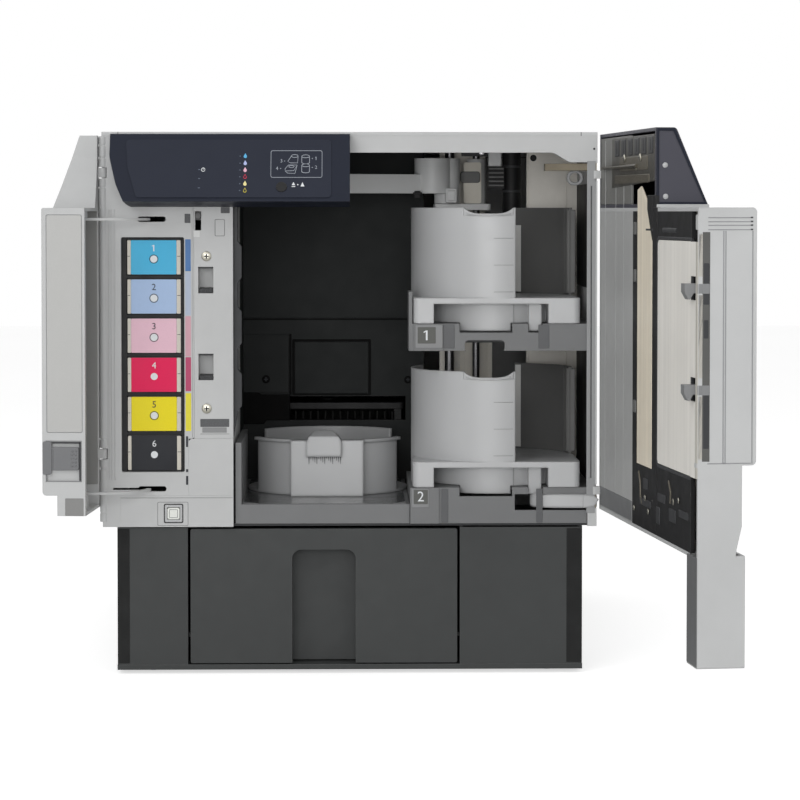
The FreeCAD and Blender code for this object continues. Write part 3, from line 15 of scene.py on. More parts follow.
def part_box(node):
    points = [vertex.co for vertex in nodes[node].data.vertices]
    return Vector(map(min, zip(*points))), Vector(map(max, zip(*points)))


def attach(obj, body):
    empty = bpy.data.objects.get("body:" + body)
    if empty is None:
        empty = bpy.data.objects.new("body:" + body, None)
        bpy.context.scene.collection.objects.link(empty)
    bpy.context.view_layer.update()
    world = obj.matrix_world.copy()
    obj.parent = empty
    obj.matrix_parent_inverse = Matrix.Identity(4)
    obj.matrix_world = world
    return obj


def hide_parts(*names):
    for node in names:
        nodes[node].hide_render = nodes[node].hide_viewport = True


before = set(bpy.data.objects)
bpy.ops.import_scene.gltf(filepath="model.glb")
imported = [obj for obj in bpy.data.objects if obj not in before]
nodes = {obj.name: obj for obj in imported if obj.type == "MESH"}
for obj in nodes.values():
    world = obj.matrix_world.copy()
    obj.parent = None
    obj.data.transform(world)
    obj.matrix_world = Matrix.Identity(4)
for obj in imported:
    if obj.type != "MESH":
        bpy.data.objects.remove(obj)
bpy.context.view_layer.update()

# %% [markdown]
# ## How a finish is built
# A finish is a small tree of nodes that ends in one principled shader. Wiring each tree by hand would
# repeat the same lines many times, so a few helpers make a node, link or set its sockets, and give
# noise in millimetres. Colours are written as a paint card gives them.

# %% Helpers for nodes
def paint(red, green, blue):
    """A colour from 0 to 255, as the linear colour that a shader takes."""
    def linear(level):
        level /= 255
        return level / 12.92 if level <= 0.04045 else ((level + 0.055) / 1.055) ** 2.4
    return (linear(red), linear(green), linear(blue), 1.0)


def tinted(colour, share):
    """The same colour, lighter (share above 1) or darker."""
    return tuple(min(1.0, level * share) for level in colour[:3]) + (1.0,)


def new_finish(name):
    """An empty material with one principled shader, and that shader."""
    finish = bpy.data.materials.new(name)
    finish.use_nodes = True
    finish.node_tree.nodes.clear()
    shader = put(finish, "BsdfPrincipled")
    put(finish, "OutputMaterial", {0: shader.outputs[0]})
    return finish, shader


def put(owner, kind, sockets=None, **settings):
    """A node in a finish or a world. A socket given another node's output is linked, others are set."""
    made = owner.node_tree.nodes.new("ShaderNode" + kind)
    for key, value in settings.items():
        setattr(made, key, value)
    fill(owner, made, sockets or {})
    return made


def fill(owner, made, sockets):
    for key, value in sockets.items():
        if isinstance(value, bpy.types.NodeSocket):
            owner.node_tree.links.new(value, made.inputs[key])
        else:
            made.inputs[key].default_value = value


def ramp(finish, driver, stops):
    """Colours spread along a number from 0 to 1."""
    made = put(finish, "ValToRGB", {"Fac": driver})
    while len(made.color_ramp.elements) < len(stops):
        made.color_ramp.elements.new(0.5)
    for element, (position, colour) in zip(made.color_ramp.elements, stops):
        element.position, element.color = position, colour
    return made.outputs["Color"]


def drifting(finish, driver, colour, share, low=0.3, high=0.7):
    """The colour, darker by a share where the driver is low and lighter by it where it is high."""
    return ramp(finish, driver, [(low, tinted(colour, 1 - share)), (high, tinted(colour, 1 + share))])


def place(finish):
    """Where a point lies on its object, in metres."""
    return put(finish, "TexCoord").outputs["Object"]


def noise(finish, where, pitch, detail=2.0, rough=0.55):
    """Noise whose lumps are about pitch millimetres across."""
    return put(finish, "TexNoise", {"Vector": where, "Scale": 1000 / pitch, "Detail": detail,
                                    "Roughness": rough}).outputs["Fac"]


def spread(finish, driver, low, high, start=0.3, end=0.7):
    """A number from low to high as the driver goes from start to end."""
    return put(finish, "MapRange", {"Value": driver, "From Min": start, "From Max": end,
                                    "To Min": low, "To Max": high}).outputs["Result"]


def math_node(finish, operation, *values):
    return put(finish, "Math", dict(enumerate(values)), operation=operation).outputs[0]


def bump(finish, strength, distance, height, **more):
    return put(finish, "Bump", {"Strength": strength, "Distance": distance, "Height": height,
                                **more}).outputs["Normal"]


def rounded(finish, radius):
    """Edges rounded in the shading alone, which keeps the mesh as it is. The radius is in millimetres."""
    return put(finish, "Bevel", {"Radius": radius / 1000}, samples=4).outputs["Normal"]


print("node helpers ready")

# %% [markdown]
# ## Moulded plastic
# A moulded plastic isn't one flat colour. The mould leaves a fine spark-eroded grain, the colour drifts
# a little over the face, the gloss is uneven, and edges are rounded and rubbed a touch paler by hands.
# A picture of plastic could show that, but it would stretch over faces of every size. Noise and a
# bevel node fit any solid, so one helper makes every plastic here from a few numbers.

# %% Plastics
def moulded(name, colour, roughness=0.5, grain=0.25, pitch=0.7, cloud=0.05, wear=0.3, edge=0.5, shine=0.4):
    """Grained plastic. The pitch of the grain and the radius of the edge are in millimetres."""
    finish, shader = new_finish(name)
    where, soft = place(finish), rounded(finish, edge)
    flat = put(finish, "NewGeometry").outputs["Normal"]
    along = put(finish, "VectorMath", {0: soft, 1: flat}, operation="DOT_PRODUCT").outputs["Value"]
    rubbed = math_node(finish, "MULTIPLY", spread(finish, along, wear, 0.0, 0.80, 0.995),
                       noise(finish, where, 6, 4))
    paler = tuple(level + (1 - level) * 0.35 for level in colour[:3]) + (1.0,)
    worn = put(finish, "MixRGB", {"Fac": rubbed, "Color2": paler, "Color1": drifting(
        finish, noise(finish, where, 90, 5, 0.6), colour, cloud)}).outputs["Color"]
    fill(finish, shader, {
        "Base Color": worn, "Specular IOR Level": shine,
        "Normal": bump(finish, grain, 0.00008, noise(finish, where, pitch, 3), Normal=soft),
        "Roughness": spread(finish, noise(finish, where, 14, 4), roughness - 0.05, roughness + 0.05),
    })
    return finish


SHELL = paint(191, 192, 192)
light_shell = moulded("Light grey shell", SHELL, 0.52)
panel_navy = moulded("Blue-black panel", paint(30, 34, 46), 0.45, 0.2, 0.6, 0.08, 0.12, 0.8, 0.16)
overlay_navy = moulded("Blue-black overlay", paint(36, 40, 52), 0.38, 0.06, 1.0, 0.06, 0.1, 0.3, 0.18)
chamber_black = moulded("Black chamber plastic", paint(27, 27, 28), 0.55, 0.3, 0.8, 0.1, 0.35, 0.5, 0.25)
dark_trim = moulded("Dark grey trim", paint(54, 55, 57), 0.5, 0.25, 0.7, 0.08, 0.35, 0.5, 0.3)
base_grey = moulded("Dark grey base", paint(61, 63, 63), 0.55, 0.35, 0.8, 0.06, 0.35, 0.8, 0.3)
shelf_grey = moulded("Mid grey shelf", paint(114, 115, 116), 0.5, 0.25, 0.7, 0.05)
cup_grey = moulded("Pale grey cup", paint(183, 184, 185), 0.38, 0.12, 0.7, 0.03, 0.3, 0.8, 0.45)
cup_soft = moulded("Cup grey, soft edges", paint(183, 184, 185), 0.34, 0.1, 0.7, 0.03, 0.25, 1.8, 0.5)
bin_grey = moulded("Bin grey", paint(182, 183, 184), 0.34, 0.1, 0.7, 0.03, 0.3, 3.2, 0.5)
guide_grey = moulded("Dark cup guide", paint(104, 104, 103), 0.45, 0.2, 0.7, 0.08)
latch_grey = moulded("Latch grey", paint(128, 129, 130), 0.42, 0.2, 0.7)
button_white = moulded("White button", paint(228, 230, 224), 0.35, 0.1, 0.5, 0.02)
rubber_black = moulded("Black rubber", paint(24, 24, 24), 0.8, 0.5, 0.5, 0.1, 0.1, 0.8, 0.2)
arm_grey = moulded("Arm grey", paint(216, 217, 217), 0.42, 0.15, 0.7, 0.05, 0.3, 0.8, 0.4)
band_slate = moulded("Slate band", paint(70, 70, 79), 0.45, 0.2, 0.6, 0.06, 0.2, 0.8, 0.3)
liner_grey = moulded("Door liner", paint(176, 177, 176), 0.45, 0.2, 0.7, 0.06, 0.3, 0.8)
slider_grey = moulded("Lock slider", paint(74, 74, 75), 0.45, 0.2)
cartridge_black = moulded("Cartridge body", paint(34, 35, 38), 0.45, 0.25, 0.7, 0.08)
wall_dark = moulded("Chamber wall", paint(43, 45, 45), 0.62, 0.3, 0.9, 0.01, 0.3, 0.8, 0.15)
wall_black = moulded("Wall groove", paint(13, 13, 13), 0.7, 0.2, 0.9, 0.05, 0.1, 0.5, 0.1)
print("plastic finishes made:", len(bpy.data.materials))

# %% [markdown]
# ## Metals
# Zinc-plated sheet has a faint brushed line and a warm, patchy tone. Rods and screws are bright steel.
# The brushing is noise stretched along one axis, used for both roughness and bump, because real
# brushing scatters light rather than colouring it.

# %% Plated sheet and bright steel
def plated(name, colour, roughness=0.35, brushed=(1, 1, 30), metal=1.0, patch=0.08):
    """Metal with brushed lines. brushed squeezes the noise along each axis."""
    finish, shader = new_finish(name)
    where = place(finish)
    squeezed = put(finish, "Mapping", {"Vector": where, "Scale": brushed}).outputs["Vector"]
    lines = noise(finish, squeezed, 4, 4, 0.7)
    fill(finish, shader, {
        "Base Color": drifting(finish, noise(finish, where, 22, 5, 0.65), colour, patch),
        "Metallic": metal, "Normal": bump(finish, 0.12, 0.00005, lines, Normal=rounded(finish, 0.4)),
        "Roughness": spread(finish, lines, roughness - 0.1, roughness + 0.12),
    })
    return finish


ALONG = (1, 1, 12)
bright_steel = plated("Bright steel", paint(200, 200, 202), 0.25)
zinc_sheet = plated("Zinc-plated sheet", paint(226, 222, 214), 0.5, ALONG, 0.1, 0.05)
brass_steel = plated("Yellow-passivated steel", paint(178, 175, 163), 0.3, (8, 8, 8))
strut_brown = plated("Strut steel", paint(128, 120, 104), 0.35, ALONG, 0.6, 0.14)
rod_steel = plated("Oiled rod", paint(118, 118, 120), 0.3, patch=0.06)
print("metals made: bright steel, zinc sheet, yellow-passivated, strut and rod steel")

# %% [markdown]
# ## Window and circuit board
# The door's window is smoked acrylic: mostly clear, a little hazy, with a faint ripple from the mould.
# Glass would look too sharp. The board at the back is green solder mask over straight copper tracks,
# which a brick pattern gives without drawing one.

# %% Smoked window and board
def smoked(name, colour):
    """Tinted see-through plastic."""
    finish, shader = new_finish(name)
    where = place(finish)
    fill(finish, shader, {
        "Base Color": ramp(finish, noise(finish, where, 120, 3), [(0.3, tinted(colour, 0.94)), (0.7, colour)]),
        "Transmission Weight": 0.85, "IOR": 1.46,
        "Normal": bump(finish, 0.05, 0.0005, noise(finish, where, 40, 3)),
        "Roughness": spread(finish, noise(finish, where, 8, 4), 0.09, 0.17),
    })
    return finish


def board_finish():
    """Green solder mask over copper tracks."""
    finish, shader = new_finish("Circuit board")
    where = place(finish)
    tracks = put(finish, "TexBrick", {
        "Vector": where, "Scale": 90.0, "Mortar Size": 0.03, "Color1": paint(20, 74, 48),
        "Color2": paint(24, 84, 54), "Mortar": paint(52, 118, 78)}).outputs["Color"]
    fill(finish, shader, {"Base Color": tracks, "Normal": bump(finish, 0.2, 0.0001, tracks),
                          "Roughness": spread(finish, noise(finish, where, 9, 3), 0.28, 0.42)})
    return finish


smoked_pane = smoked("Smoked window", paint(206, 198, 184))
circuit_board = board_finish()
print("window and board finishes made")

# %% [markdown]
# ## Finish every solid
# Each solid keeps its mesh. Only the material in its slots is changed, so the printer can be looked at
# with its finishes before any detail is added.

# %% Dress the solids
def dress(names, finish):
    for name in names.split():
        for holder in nodes[name].material_slots:
            holder.material = finish


for names, finish in (
    ("left_side_cover right_side_cover front_frame ink_bezel column_cover front_sill door_shell "
     "ink_cover_shell ink_cover_arms door_hinge_lugs", light_shell),
    ("base_pan base_left_cover base_right_cover drawer_front drawer_tray", base_grey),
    ("printer_housing print_carriage ink_rack lift_motor panel_button door_inner_frame power_supply "
     "printer_tray", chamber_black),
    ("control_panel_shell", panel_navy), ("control_panel_face", overlay_navy),
    ("door_band", band_slate), ("door_hinge_panel", liner_grey), ("door_hinge_arms", strut_brown),
    # The deck's edge between the lower shelf and the base lies in shade, so the deck is dressed dark grey as
    # painted shade.
    ("door_window", smoked_pane), ("door_latch ink_latch", latch_grey), ("main_deck", dark_trim),
    ("chamber_walls", wall_dark), ("chamber_tray upper_shelf lower_shelf", shelf_grey),
    ("stacker_1_cup stacker_2_cup", cup_soft), ("stacker_1_guide stacker_2_guide", guide_grey),
    ("stacker_3_bin", bin_grey), ("transfer_arm lift_carriage", arm_grey),
    ("lift_frame bay_rear_plate", zinc_sheet), ("lift_rods", rod_steel),
    ("printer_guide_shaft column_screws", bright_steel), ("rubber_feet", rubber_black),
    ("lock_slider", slider_grey), ("power_button", button_white), ("main_board", circuit_board),
    (" ".join(f"cartridge_{i}" for i in range(1, 7)), cartridge_black),
):
    dress(names, finish)
print("solids dressed:", len(nodes))


# %% [markdown]
# ## How the small pieces are made
# Labels, plates and lamps are outlines pushed a little way along one axis, rings are two outlines
# bridged, and knobs are profiles turned about an axis. They could be cubes and cylinders scaled into
# place, but an outline gives round corners and odd shapes as easily. Each helper returns points and
# faces, so many small solids can share one mesh.

# %% Outlines and solids
def at(axis, a, b, along):
    """A point from the two coordinates square to an axis and the one along it."""
    return {"x": (along, a, b), "y": (a, along, b), "z": (a, b, along)}[axis]


def rect(a0, a1, b0, b1, radius=0.0, steps=4):
    """A rectangle's outline, with rounded corners if a radius is given."""
    if not radius:
        return [(a0, b0), (a1, b0), (a1, b1), (a0, b1)]
    points = []
    for ca, cb, start in ((a1 - radius, b0 + radius, -90), (a1 - radius, b1 - radius, 0),
                          (a0 + radius, b1 - radius, 90), (a0 + radius, b0 + radius, 180)):
        for step in range(steps + 1):
            angle = math.radians(start + 90 * step / steps)
            points.append((ca + radius * math.cos(angle), cb + radius * math.sin(angle)))
    return points


def disc(a, b, radius, count=32):
    turns = [2 * math.pi * i / count for i in range(count)]
    return [(a + radius * math.cos(turn), b + radius * math.sin(turn)) for turn in turns]


def bridges(start, end, count):
    """The faces between two loops of as many points, given the first point of each."""
    return [[start + i, start + (i + 1) % count, end + (i + 1) % count, end + i] for i in range(count)]


def slab(axis, low, high, outline):
    """An outline pushed along an axis from low to high."""
    count = len(outline)
    points = [at(axis, a, b, level) for level in (low, high) for a, b in outline]
    return points, [list(range(count)), list(range(count, 2 * count))] + bridges(0, count, count)


def plates(axis, low, high, *sides):
    """Rectangles between the same two levels. A fifth number rounds a rectangle's corners."""
    return [slab(axis, low, high, rect(*side)) for side in sides]


def hoop(axis, low, high, outer, inner):
    """The band between two outlines of as many points, pushed along an axis."""
    count = len(outer)
    loops = [(outer, low), (outer, high), (inner, high), (inner, low)]
    points = [at(axis, a, b, level) for outline, level in loops for a, b in outline]
    return points, [face for loop in range(4)
                    for face in bridges(loop * count, (loop + 1) % 4 * count, count)]


def border(axis, low, high, outer, inner):
    """The band between two rectangles, each given as rect takes it."""
    return hoop(axis, low, high, rect(*outer), rect(*inner))


def turned(axis, a, b, profile, count=40):
    """A profile of (radius, height) pairs turned about an axis, closed at both ends."""
    points, last = [], (len(profile) - 1) * count
    for radius, height in profile:
        points += [at(axis, u, v, height) for u, v in disc(a, b, max(radius, 1e-3), count)]
    faces = [face for ring in range(len(profile) - 1)
             for face in bridges(ring * count, (ring + 1) * count, count)]
    return points, faces + [list(range(count)), list(range(last, last + count))]


def ribbon(axis, low, high, thickness, path):
    """A bent strip: a path of (a, b) points given a thickness and pushed along an axis."""
    half = thickness / 2
    one, two = [], []
    for i, (a, b) in enumerate(path):
        before, after = path[max(i - 1, 0)], path[min(i + 1, len(path) - 1)]
        da, db = after[0] - before[0], after[1] - before[1]
        size = math.hypot(da, db) or 1.0
        one.append((a - db / size * half, b + da / size * half))
        two.append((a + db / size * half, b - da / size * half))
    return slab(axis, low, high, one + two[::-1])


print("solid helpers ready")

# %% [markdown]
# ## From solids to a piece
# Nothing moulded or stamped has a knife edge, so a bevel modifier softens every edge of a piece. The
# covers stand open, which makes their details awkward to place, so those are drawn in the shut
# position, square to the axes, and turned about the hinge with the same angle as the CAD cover.

# %% Build a piece
HINGES = {"disc_door": ((187.5, -210.5), 96.6), "ink_cover": ((-187.5, -210.5), -94.0)}


def swung_open(body):
    """The turn from shut to open about a cover's hinge, in millimetres."""
    (x, y), angle = HINGES[body]
    return (Matrix.Translation((x, y, 0)) @ Matrix.Rotation(math.radians(angle), 4, "Z")
            @ Matrix.Translation((-x, -y, 0)))


def build(name, solids, finish, bevel=0.15, body="root", opened=None, lean=None):
    """One piece from one or more solids, bevelled, finished and riding on its body.
    opened names a cover whose shut position the solids were drawn in, and lean moves each point."""
    made = bmesh.new()
    for points, faces in solids:
        corners = [made.verts.new(lean(point) if lean else point) for point in points]
        for face in faces:
            made.faces.new([corners[i] for i in face])
    bmesh.ops.remove_doubles(made, verts=made.verts, dist=1e-4)
    bmesh.ops.recalc_face_normals(made, faces=made.faces)
    if opened:
        bmesh.ops.transform(made, matrix=swung_open(opened), verts=made.verts)
    bmesh.ops.scale(made, vec=(0.001, 0.001, 0.001), verts=made.verts)
    mesh = bpy.data.meshes.new(name)
    made.to_mesh(mesh)
    made.free()
    mesh.shade_smooth()
    mesh.set_sharp_from_angle(angle=math.radians(35))
    mesh.materials.append(finish)
    piece = bpy.data.objects.new(name, mesh)
    bpy.context.scene.collection.objects.link(piece)
    if bevel:
        edge = piece.modifiers.new("Soft edges", "BEVEL")
        edge.width, edge.segments, edge.limit_method = bevel / 1000, 2, "ANGLE"
        edge.angle_limit = math.radians(40)
    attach(piece, body)
    return piece


print("covers swing open by", {body: angle for body, (_, angle) in HINGES.items()})

# %% [markdown]
# ## Plain figures
# The shelves, cartridges and the small picture carry plain numerals. A text curve turned into a mesh
# gives them. The standard face's one is a bare stroke, so a one is drawn here with a small flag.

# %% Figures
def figures(text, size, x, z, y, depth):
    """A numeral as a solid that faces the front, centred on x and z."""
    if text == "1":
        stem, tall = size * 0.062, size * 0.34
        return slab("y", y - depth / 2, y + depth / 2, [
            (x - stem, z - tall), (x + stem, z - tall), (x + stem, z + tall), (x - stem * 0.8, z + tall),
            (x - stem * 3.6, z + tall * 0.70), (x - stem * 3.2, z + tall * 0.50), (x - stem, z + tall * 0.72)])
    curve = bpy.data.curves.new("Figure", "FONT")
    curve.body, curve.size, curve.extrude, curve.resolution_u = text, size, depth / 2, 3
    curve.align_x = curve.align_y = "CENTER"
    holder = bpy.data.objects.new("Figure", curve)
    bpy.context.scene.collection.objects.link(holder)
    bpy.context.view_layer.update()
    mesh = bpy.data.meshes.new_from_object(holder)
    points = [(x + v.co.x, y - v.co.z, z + v.co.y) for v in mesh.vertices]
    faces = [list(face.vertices) for face in mesh.polygons]
    bpy.data.objects.remove(holder)
    bpy.data.curves.remove(curve)
    return points, faces


print("a one has", len(figures("1", 7.0, 0, 0, 0, 0.2)[0]), "points")

# %% [markdown]
# ## Printed card and film
# Labels are printed paper or film: a flat ink with a little press noise, a satin varnish, and a cut edge.
# The noise is fine enough to be felt rather than seen, as on a real label.

# %% Printed finishes
def printed(name, colour, roughness=0.4, speck=0.05):
    finish, shader = new_finish(name)
    where = place(finish)
    press, wide = noise(finish, where, 0.35, 2, 0.7), noise(finish, where, 25, 3)
    both = math_node(finish, "MULTIPLY_ADD", press, wide, press)
    fill(finish, shader, {
        "Base Color": drifting(finish, both, colour, speck, 0.45, 1.05), "Specular IOR Level": 0.2,
        "Roughness": spread(finish, wide, roughness - 0.05, roughness + 0.05),
        "Normal": bump(finish, 0.08, 0.00005, press),
    })
    return finish


cream_card = printed("Cream card", paint(212, 207, 196))
white_print = printed("White print", paint(225, 228, 230))
dark_print = printed("Dark print", paint(44, 46, 52))
sticker_grey = printed("Dark sticker", paint(92, 93, 95), 0.5, 0.25)
pale_card = printed("Pale card", paint(214, 215, 214), 0.45, 0.03)
print("printed finishes made")

# %% [markdown]
# ## Ink cartridges
# Each cartridge shows a coloured card between two cream strips that carry a short tick half-way up,
# with a ringed white spot in the middle and a plain figure over it. The cards are thin solids laid on
# the cartridge's front, and they ride with their cartridge.

# %% Cartridge cards
INKS = {"Cyan": (72, 180, 222), "Light cyan": (168, 192, 226), "Light magenta": (231, 190, 205),
        "Magenta": (228, 14, 84), "Yellow": (238, 220, 20), "Black": (30, 32, 38)}
SPOT_X = -149.4
for number, (ink, colour) in enumerate(INKS.items(), 1):
    body, card = f"cartridge_{number}", printed(ink + " card", paint(*colour))
    low, high = (corner * 1000 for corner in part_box(body))
    middle, front, edges = (low.z + high.z) / 2, low.y, (low.z + 0.5, high.z - 0.5)
    spot = (SPOT_X, middle - 1.3)
    figure_print = white_print if number in (1, 4, 6) else dark_print
    ring_print = card if number in (4, 6) else dark_print
    build(f"ink_card_{number}", plates("y", front - 0.35, front + 0.2, (-166.8, -132.2, *edges, 0.8)), card,
          0.08, body)
    build(f"cream_strips_{number}", plates("y", front - 0.3, front + 0.2, (-169.5, -166.9, *edges, 0.5),
                                           (-132.1, -129.0, *edges, 0.5)), cream_card, 0.08, body)
    ticks = plates("y", front - 0.45, front, (-169.3, -167.6, middle + 0.6, middle + 1.0),
                   (-131.6, -129.2, middle + 0.6, middle + 1.0))
    build(f"tick_marks_{number}", ticks, dark_print, 0.05, body)
    build(f"white_spot_{number}", [slab("y", front - 0.5, front, disc(*spot, 2.7))], white_print,
          0.05, body)
    build(f"spot_ring_{number}", [hoop("y", front - 0.5, front, disc(*spot, 3.4), disc(*spot, 2.85))],
          ring_print, 0.05, body)
    build(f"figure_{number}", [figures(str(number), 7.0, SPOT_X, middle + 7.0, front - 0.45, 0.2)],
          figure_print, 0, body)
print("cartridge cards made for", len(INKS), "cartridges")

# %% [markdown]
# ## Ink colour strip and stickers on the bezel
# A printed strip beside the cartridges repeats their colours, and dark stickers sit near the lock and
# under the lower screw. They could be painted on the bezel's own finish, but films a few tenths of a
# millimetre thick catch light along their cut edge, as real ones do.

# %% Strip, stickers and lock plate
FRONT = -213.0
COLUMN_FRONT = FRONT + 1.1
STRIP = [(305.1, 329.4, paint(76, 118, 172)), (271.6, 304.3, paint(176, 186, 204)),
         (240.4, 270.9, paint(208, 160, 172)), (213.8, 239.7, paint(182, 72, 108)),
         (183.4, 212.3, paint(226, 214, 62))]
for number, (z0, z1, colour) in enumerate(STRIP, 1):
    build(f"colour_strip_{number}", plates("y", FRONT - 0.2, FRONT + 0.1, (-125.2, -121.0, z0, z1)),
          printed(f"Strip colour {number}", colour), 0.05)
build("colour_strip_6", plates("y", FRONT - 0.2, FRONT + 0.1, (-125.0, -123.4, 171.2, 179.4),
                               (-125.0, -123.4, 152.0, 154.2), (-125.0, -123.4, 142.3, 149.1)),
      dark_print, 0.05)
build("bezel_stickers", plates("y", FRONT - 0.25, FRONT + 0.1, (-125.6, -121.2, 341.8, 348.8, 0.4))
      + plates("y", FRONT + 0.75, COLUMN_FRONT, (-98.2, -91.4, 349.2, 353.8, 0.4),
               (-114.1, -92.1, 186.4, 192.5, 0.4)), sticker_grey, 0.05)
build("lock_plate", plates("y", FRONT + 0.6, COLUMN_FRONT, (-119.0, -114.0, 331.2, 336.0, 0.4)), pale_card,
      0.1)
print("strip and stickers made")

# %% [markdown]
# ## Screws
# Round heads with a cross recess hold the column. A turned profile gives the domed head, and the cross
# is two thin dark bars sunk in it, which reads as a recess at this size and leaves a clean mesh, where
# cutting a true recess would not.

# %% Screw heads
HEAD = [(0.96, 0.0), (1.0, 0.25), (0.93, 0.62), (0.7, 0.9), (0.3, 1.0), (0.0, 1.0)]


def screws(name, spots, finish, body="root", opened=None, out=-1, axis="y"):
    """Heads at (a, b, face, radius) spots that stand out from the face, towards out along an axis."""
    heads, crosses = [], []
    for a, b, face, radius in spots:
        height, arm, width = radius * 0.35, radius * 0.5, radius * 0.13
        top = face + out * height
        sunk = sorted((top - out * 0.15, top + out * 0.04))
        heads.append(turned(axis, a, b, [(radius * r, face + out * h * height) for r, h in HEAD]))
        crosses += plates(axis, *sunk, (a - arm, a + arm, b - width, b + width),
                          (a - width, a + width, b - arm, b + arm))
    piece = build(name, heads, finish, 0, body, opened)
    build(name + "_recess", crosses, dark_print, 0, body, opened)
    return piece


column_heads = screws("column_screw_heads", [(-109.2, z, -211.9, 3.8) for z in (316.5, 200.4)], brass_steel)
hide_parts("column_screws")
print("column screws made")

# %% [markdown]
# ## Control panel graphics
# The panel is a sloped face with printed marks: three status dots, a power mark, and six ink lamps
# with drops beside them. They could be turned to the slope one by one. Instead they are drawn upright
# about y = 0 and each point is shifted back along the slope, so one rule places them all.

# %% Lamps and drops
SLOPE = 23.5 / 51.0
LAMP_Z = [392.1, 386.8, 381.6, 376.5, 371.3, 366.2]
DROPS = [paint(96, 176, 220), paint(176, 186, 226), paint(232, 184, 200), paint(206, 60, 84),
         paint(236, 224, 160), paint(188, 176, 72)]


def on_slope(point):
    """The point with its y counted from the panel's sloped face."""
    x, y, z = point
    return (x, y - 227.66 - (409.0 - z) * SLOPE, z)


def drop(x, z, size):
    """A drop with its tip up."""
    turns = [math.radians(35 - 250 * step / 10) for step in range(11)]
    middle, round_part = z - size * 0.15, size * 0.72
    return [(x, z + size * 1.25)] + [(x + round_part * math.cos(turn), middle + round_part * math.sin(turn))
                                     for turn in turns]


def on_panel(name, solids, finish, bevel=0):
    return build(name, solids, finish, bevel, lean=on_slope)


def lamp_row(name, x0, x1, heights):
    on_panel(name, plates("y", -0.25, 0.2, *[(x0, x1, z - 0.35, z + 0.35, 0.3) for z in heights]), lamp_lens,
             bevel=0.05)


lamp_lens = printed("Lamp lens", paint(96, 104, 118))
lamp_row("status_lamps", -113.6, -112.0, (381.9, 375.2, 368.2))
on_panel("power_mark", [hoop("y", -0.2, 0.1, disc(-109.9, 381.9, 1.5, 24), disc(-109.9, 381.9, 1.1, 24)),
                        *plates("y", -0.2, 0.1, (-110.1, -109.7, 381.6, 383.0))], white_print)
lamp_row("ink_lamps", -82.9, -81.8, LAMP_Z)
for number, (z, colour) in enumerate(zip(LAMP_Z, DROPS), 1):
    shape = drop(-78.5, z, 1.75)
    hollow = number in (4, 6)
    solid = hoop("y", -0.2, 0.1, shape, drop(-78.5, z, 1.2)) if hollow else slab("y", -0.2, 0.1, shape)
    on_panel(f"ink_drop_{number}", [solid], printed(f"Drop colour {number}", colour))
print("panel lamps and drops made")

# %% [markdown]
# ## The small picture of the stackers
# A rounded frame holds two cups and two bins in outline, numbered 1 to 4, with a mark for the button
# under it. On the panel it is a line print. Curves with a bevel could draw it, but they would be round
# in section. A flat strip that follows a path gives each line an even width, and ovals give the rims.

# %% Stacker picture
def line(points, width=0.4):
    """A printed line through the points, closed at both ends."""
    return ribbon("y", -0.2, 0.1, width, points)


def oval(x, z, across, up, width=0.4, start=0, sweep=360):
    turns = [math.radians(start + sweep * i / 20) for i in range(21)]
    return line([(x + across * math.cos(turn), z + up * math.sin(turn)) for turn in turns], width)


soft_print = printed("Soft print", paint(166, 171, 180))
picture = [border("y", -0.2, 0.1, (-59.4, -20.7, 375.9, 396.4, 1.4), (-59.05, -21.05, 376.25, 396.05, 1.1))]
for x, z in ((-33.2, 392.0), (-33.2, 385.2)):
    picture += [oval(x, z, 2.9, 1.1), oval(x, z - 4.6, 2.9, 1.1, start=180, sweep=180),
                line([(x - 2.9, z), (x - 2.9, z - 4.6)]), line([(x + 2.9, z), (x + 2.9, z - 4.6)])]
picture += [
    oval(-41.4, 392.2, 2.5, 1.1), oval(-43.8, 384.2, 2.0, 0.8, 0.35),
    line([(-43.9, 392.2), (-46.6, 388.2), (-44.6, 387.0), (-39.2, 387.0), (-38.9, 392.2)]),
    line([(-48.6, 382.6), (-46.0, 385.4), (-39.6, 385.4), (-42.0, 381.2), (-48.4, 380.9), (-48.6, 382.6)]),
    line([(-48.4, 380.9), (-46.8, 379.3), (-41.2, 379.0), (-39.6, 385.4)]),
] + [line([(x, z), (x + 0.8, z)], 0.5)
     for x, z in ((-28.6, 390.4), (-28.6, 383.6), (-49.4, 388.4), (-52.4, 382.8))]
on_panel("stacker_picture", picture, soft_print)
on_panel("stacker_figures", [figures(text, 3.6, x, z, -0.05, 0.2) for text, x, z in (
    ("1", -25.4, 390.4), ("2", -25.4, 383.6), ("3", -51.4, 388.4), ("4", -54.6, 382.8))], soft_print)
on_panel("panel_button_mark", [slab("y", -0.2, 0.1, [(-43.6, 370.2), (-40.9, 370.2), (-42.2, 372.6)]),
                               *plates("y", -0.2, 0.1, (-43.6, -40.9, 368.9, 369.5)),
                               slab("y", -0.2, 0.1, disc(-39.0, 370.6, 0.5, 12)),
                               slab("y", -0.2, 0.1, [(-36.9, 369.3), (-34.0, 369.3), (-35.5, 372.6)])],
         white_print)
print("stacker picture made of", len(picture), "lines")

# %% [markdown]
# ## Signs and strips on the shelves
# Each shelf front carries a pale sign with a dark square and a white figure, and two dark strips that
# frame the cup's place. A flat print would do from straight on. Thin plates laid one on another give
# the sign its real steps from the side as well.

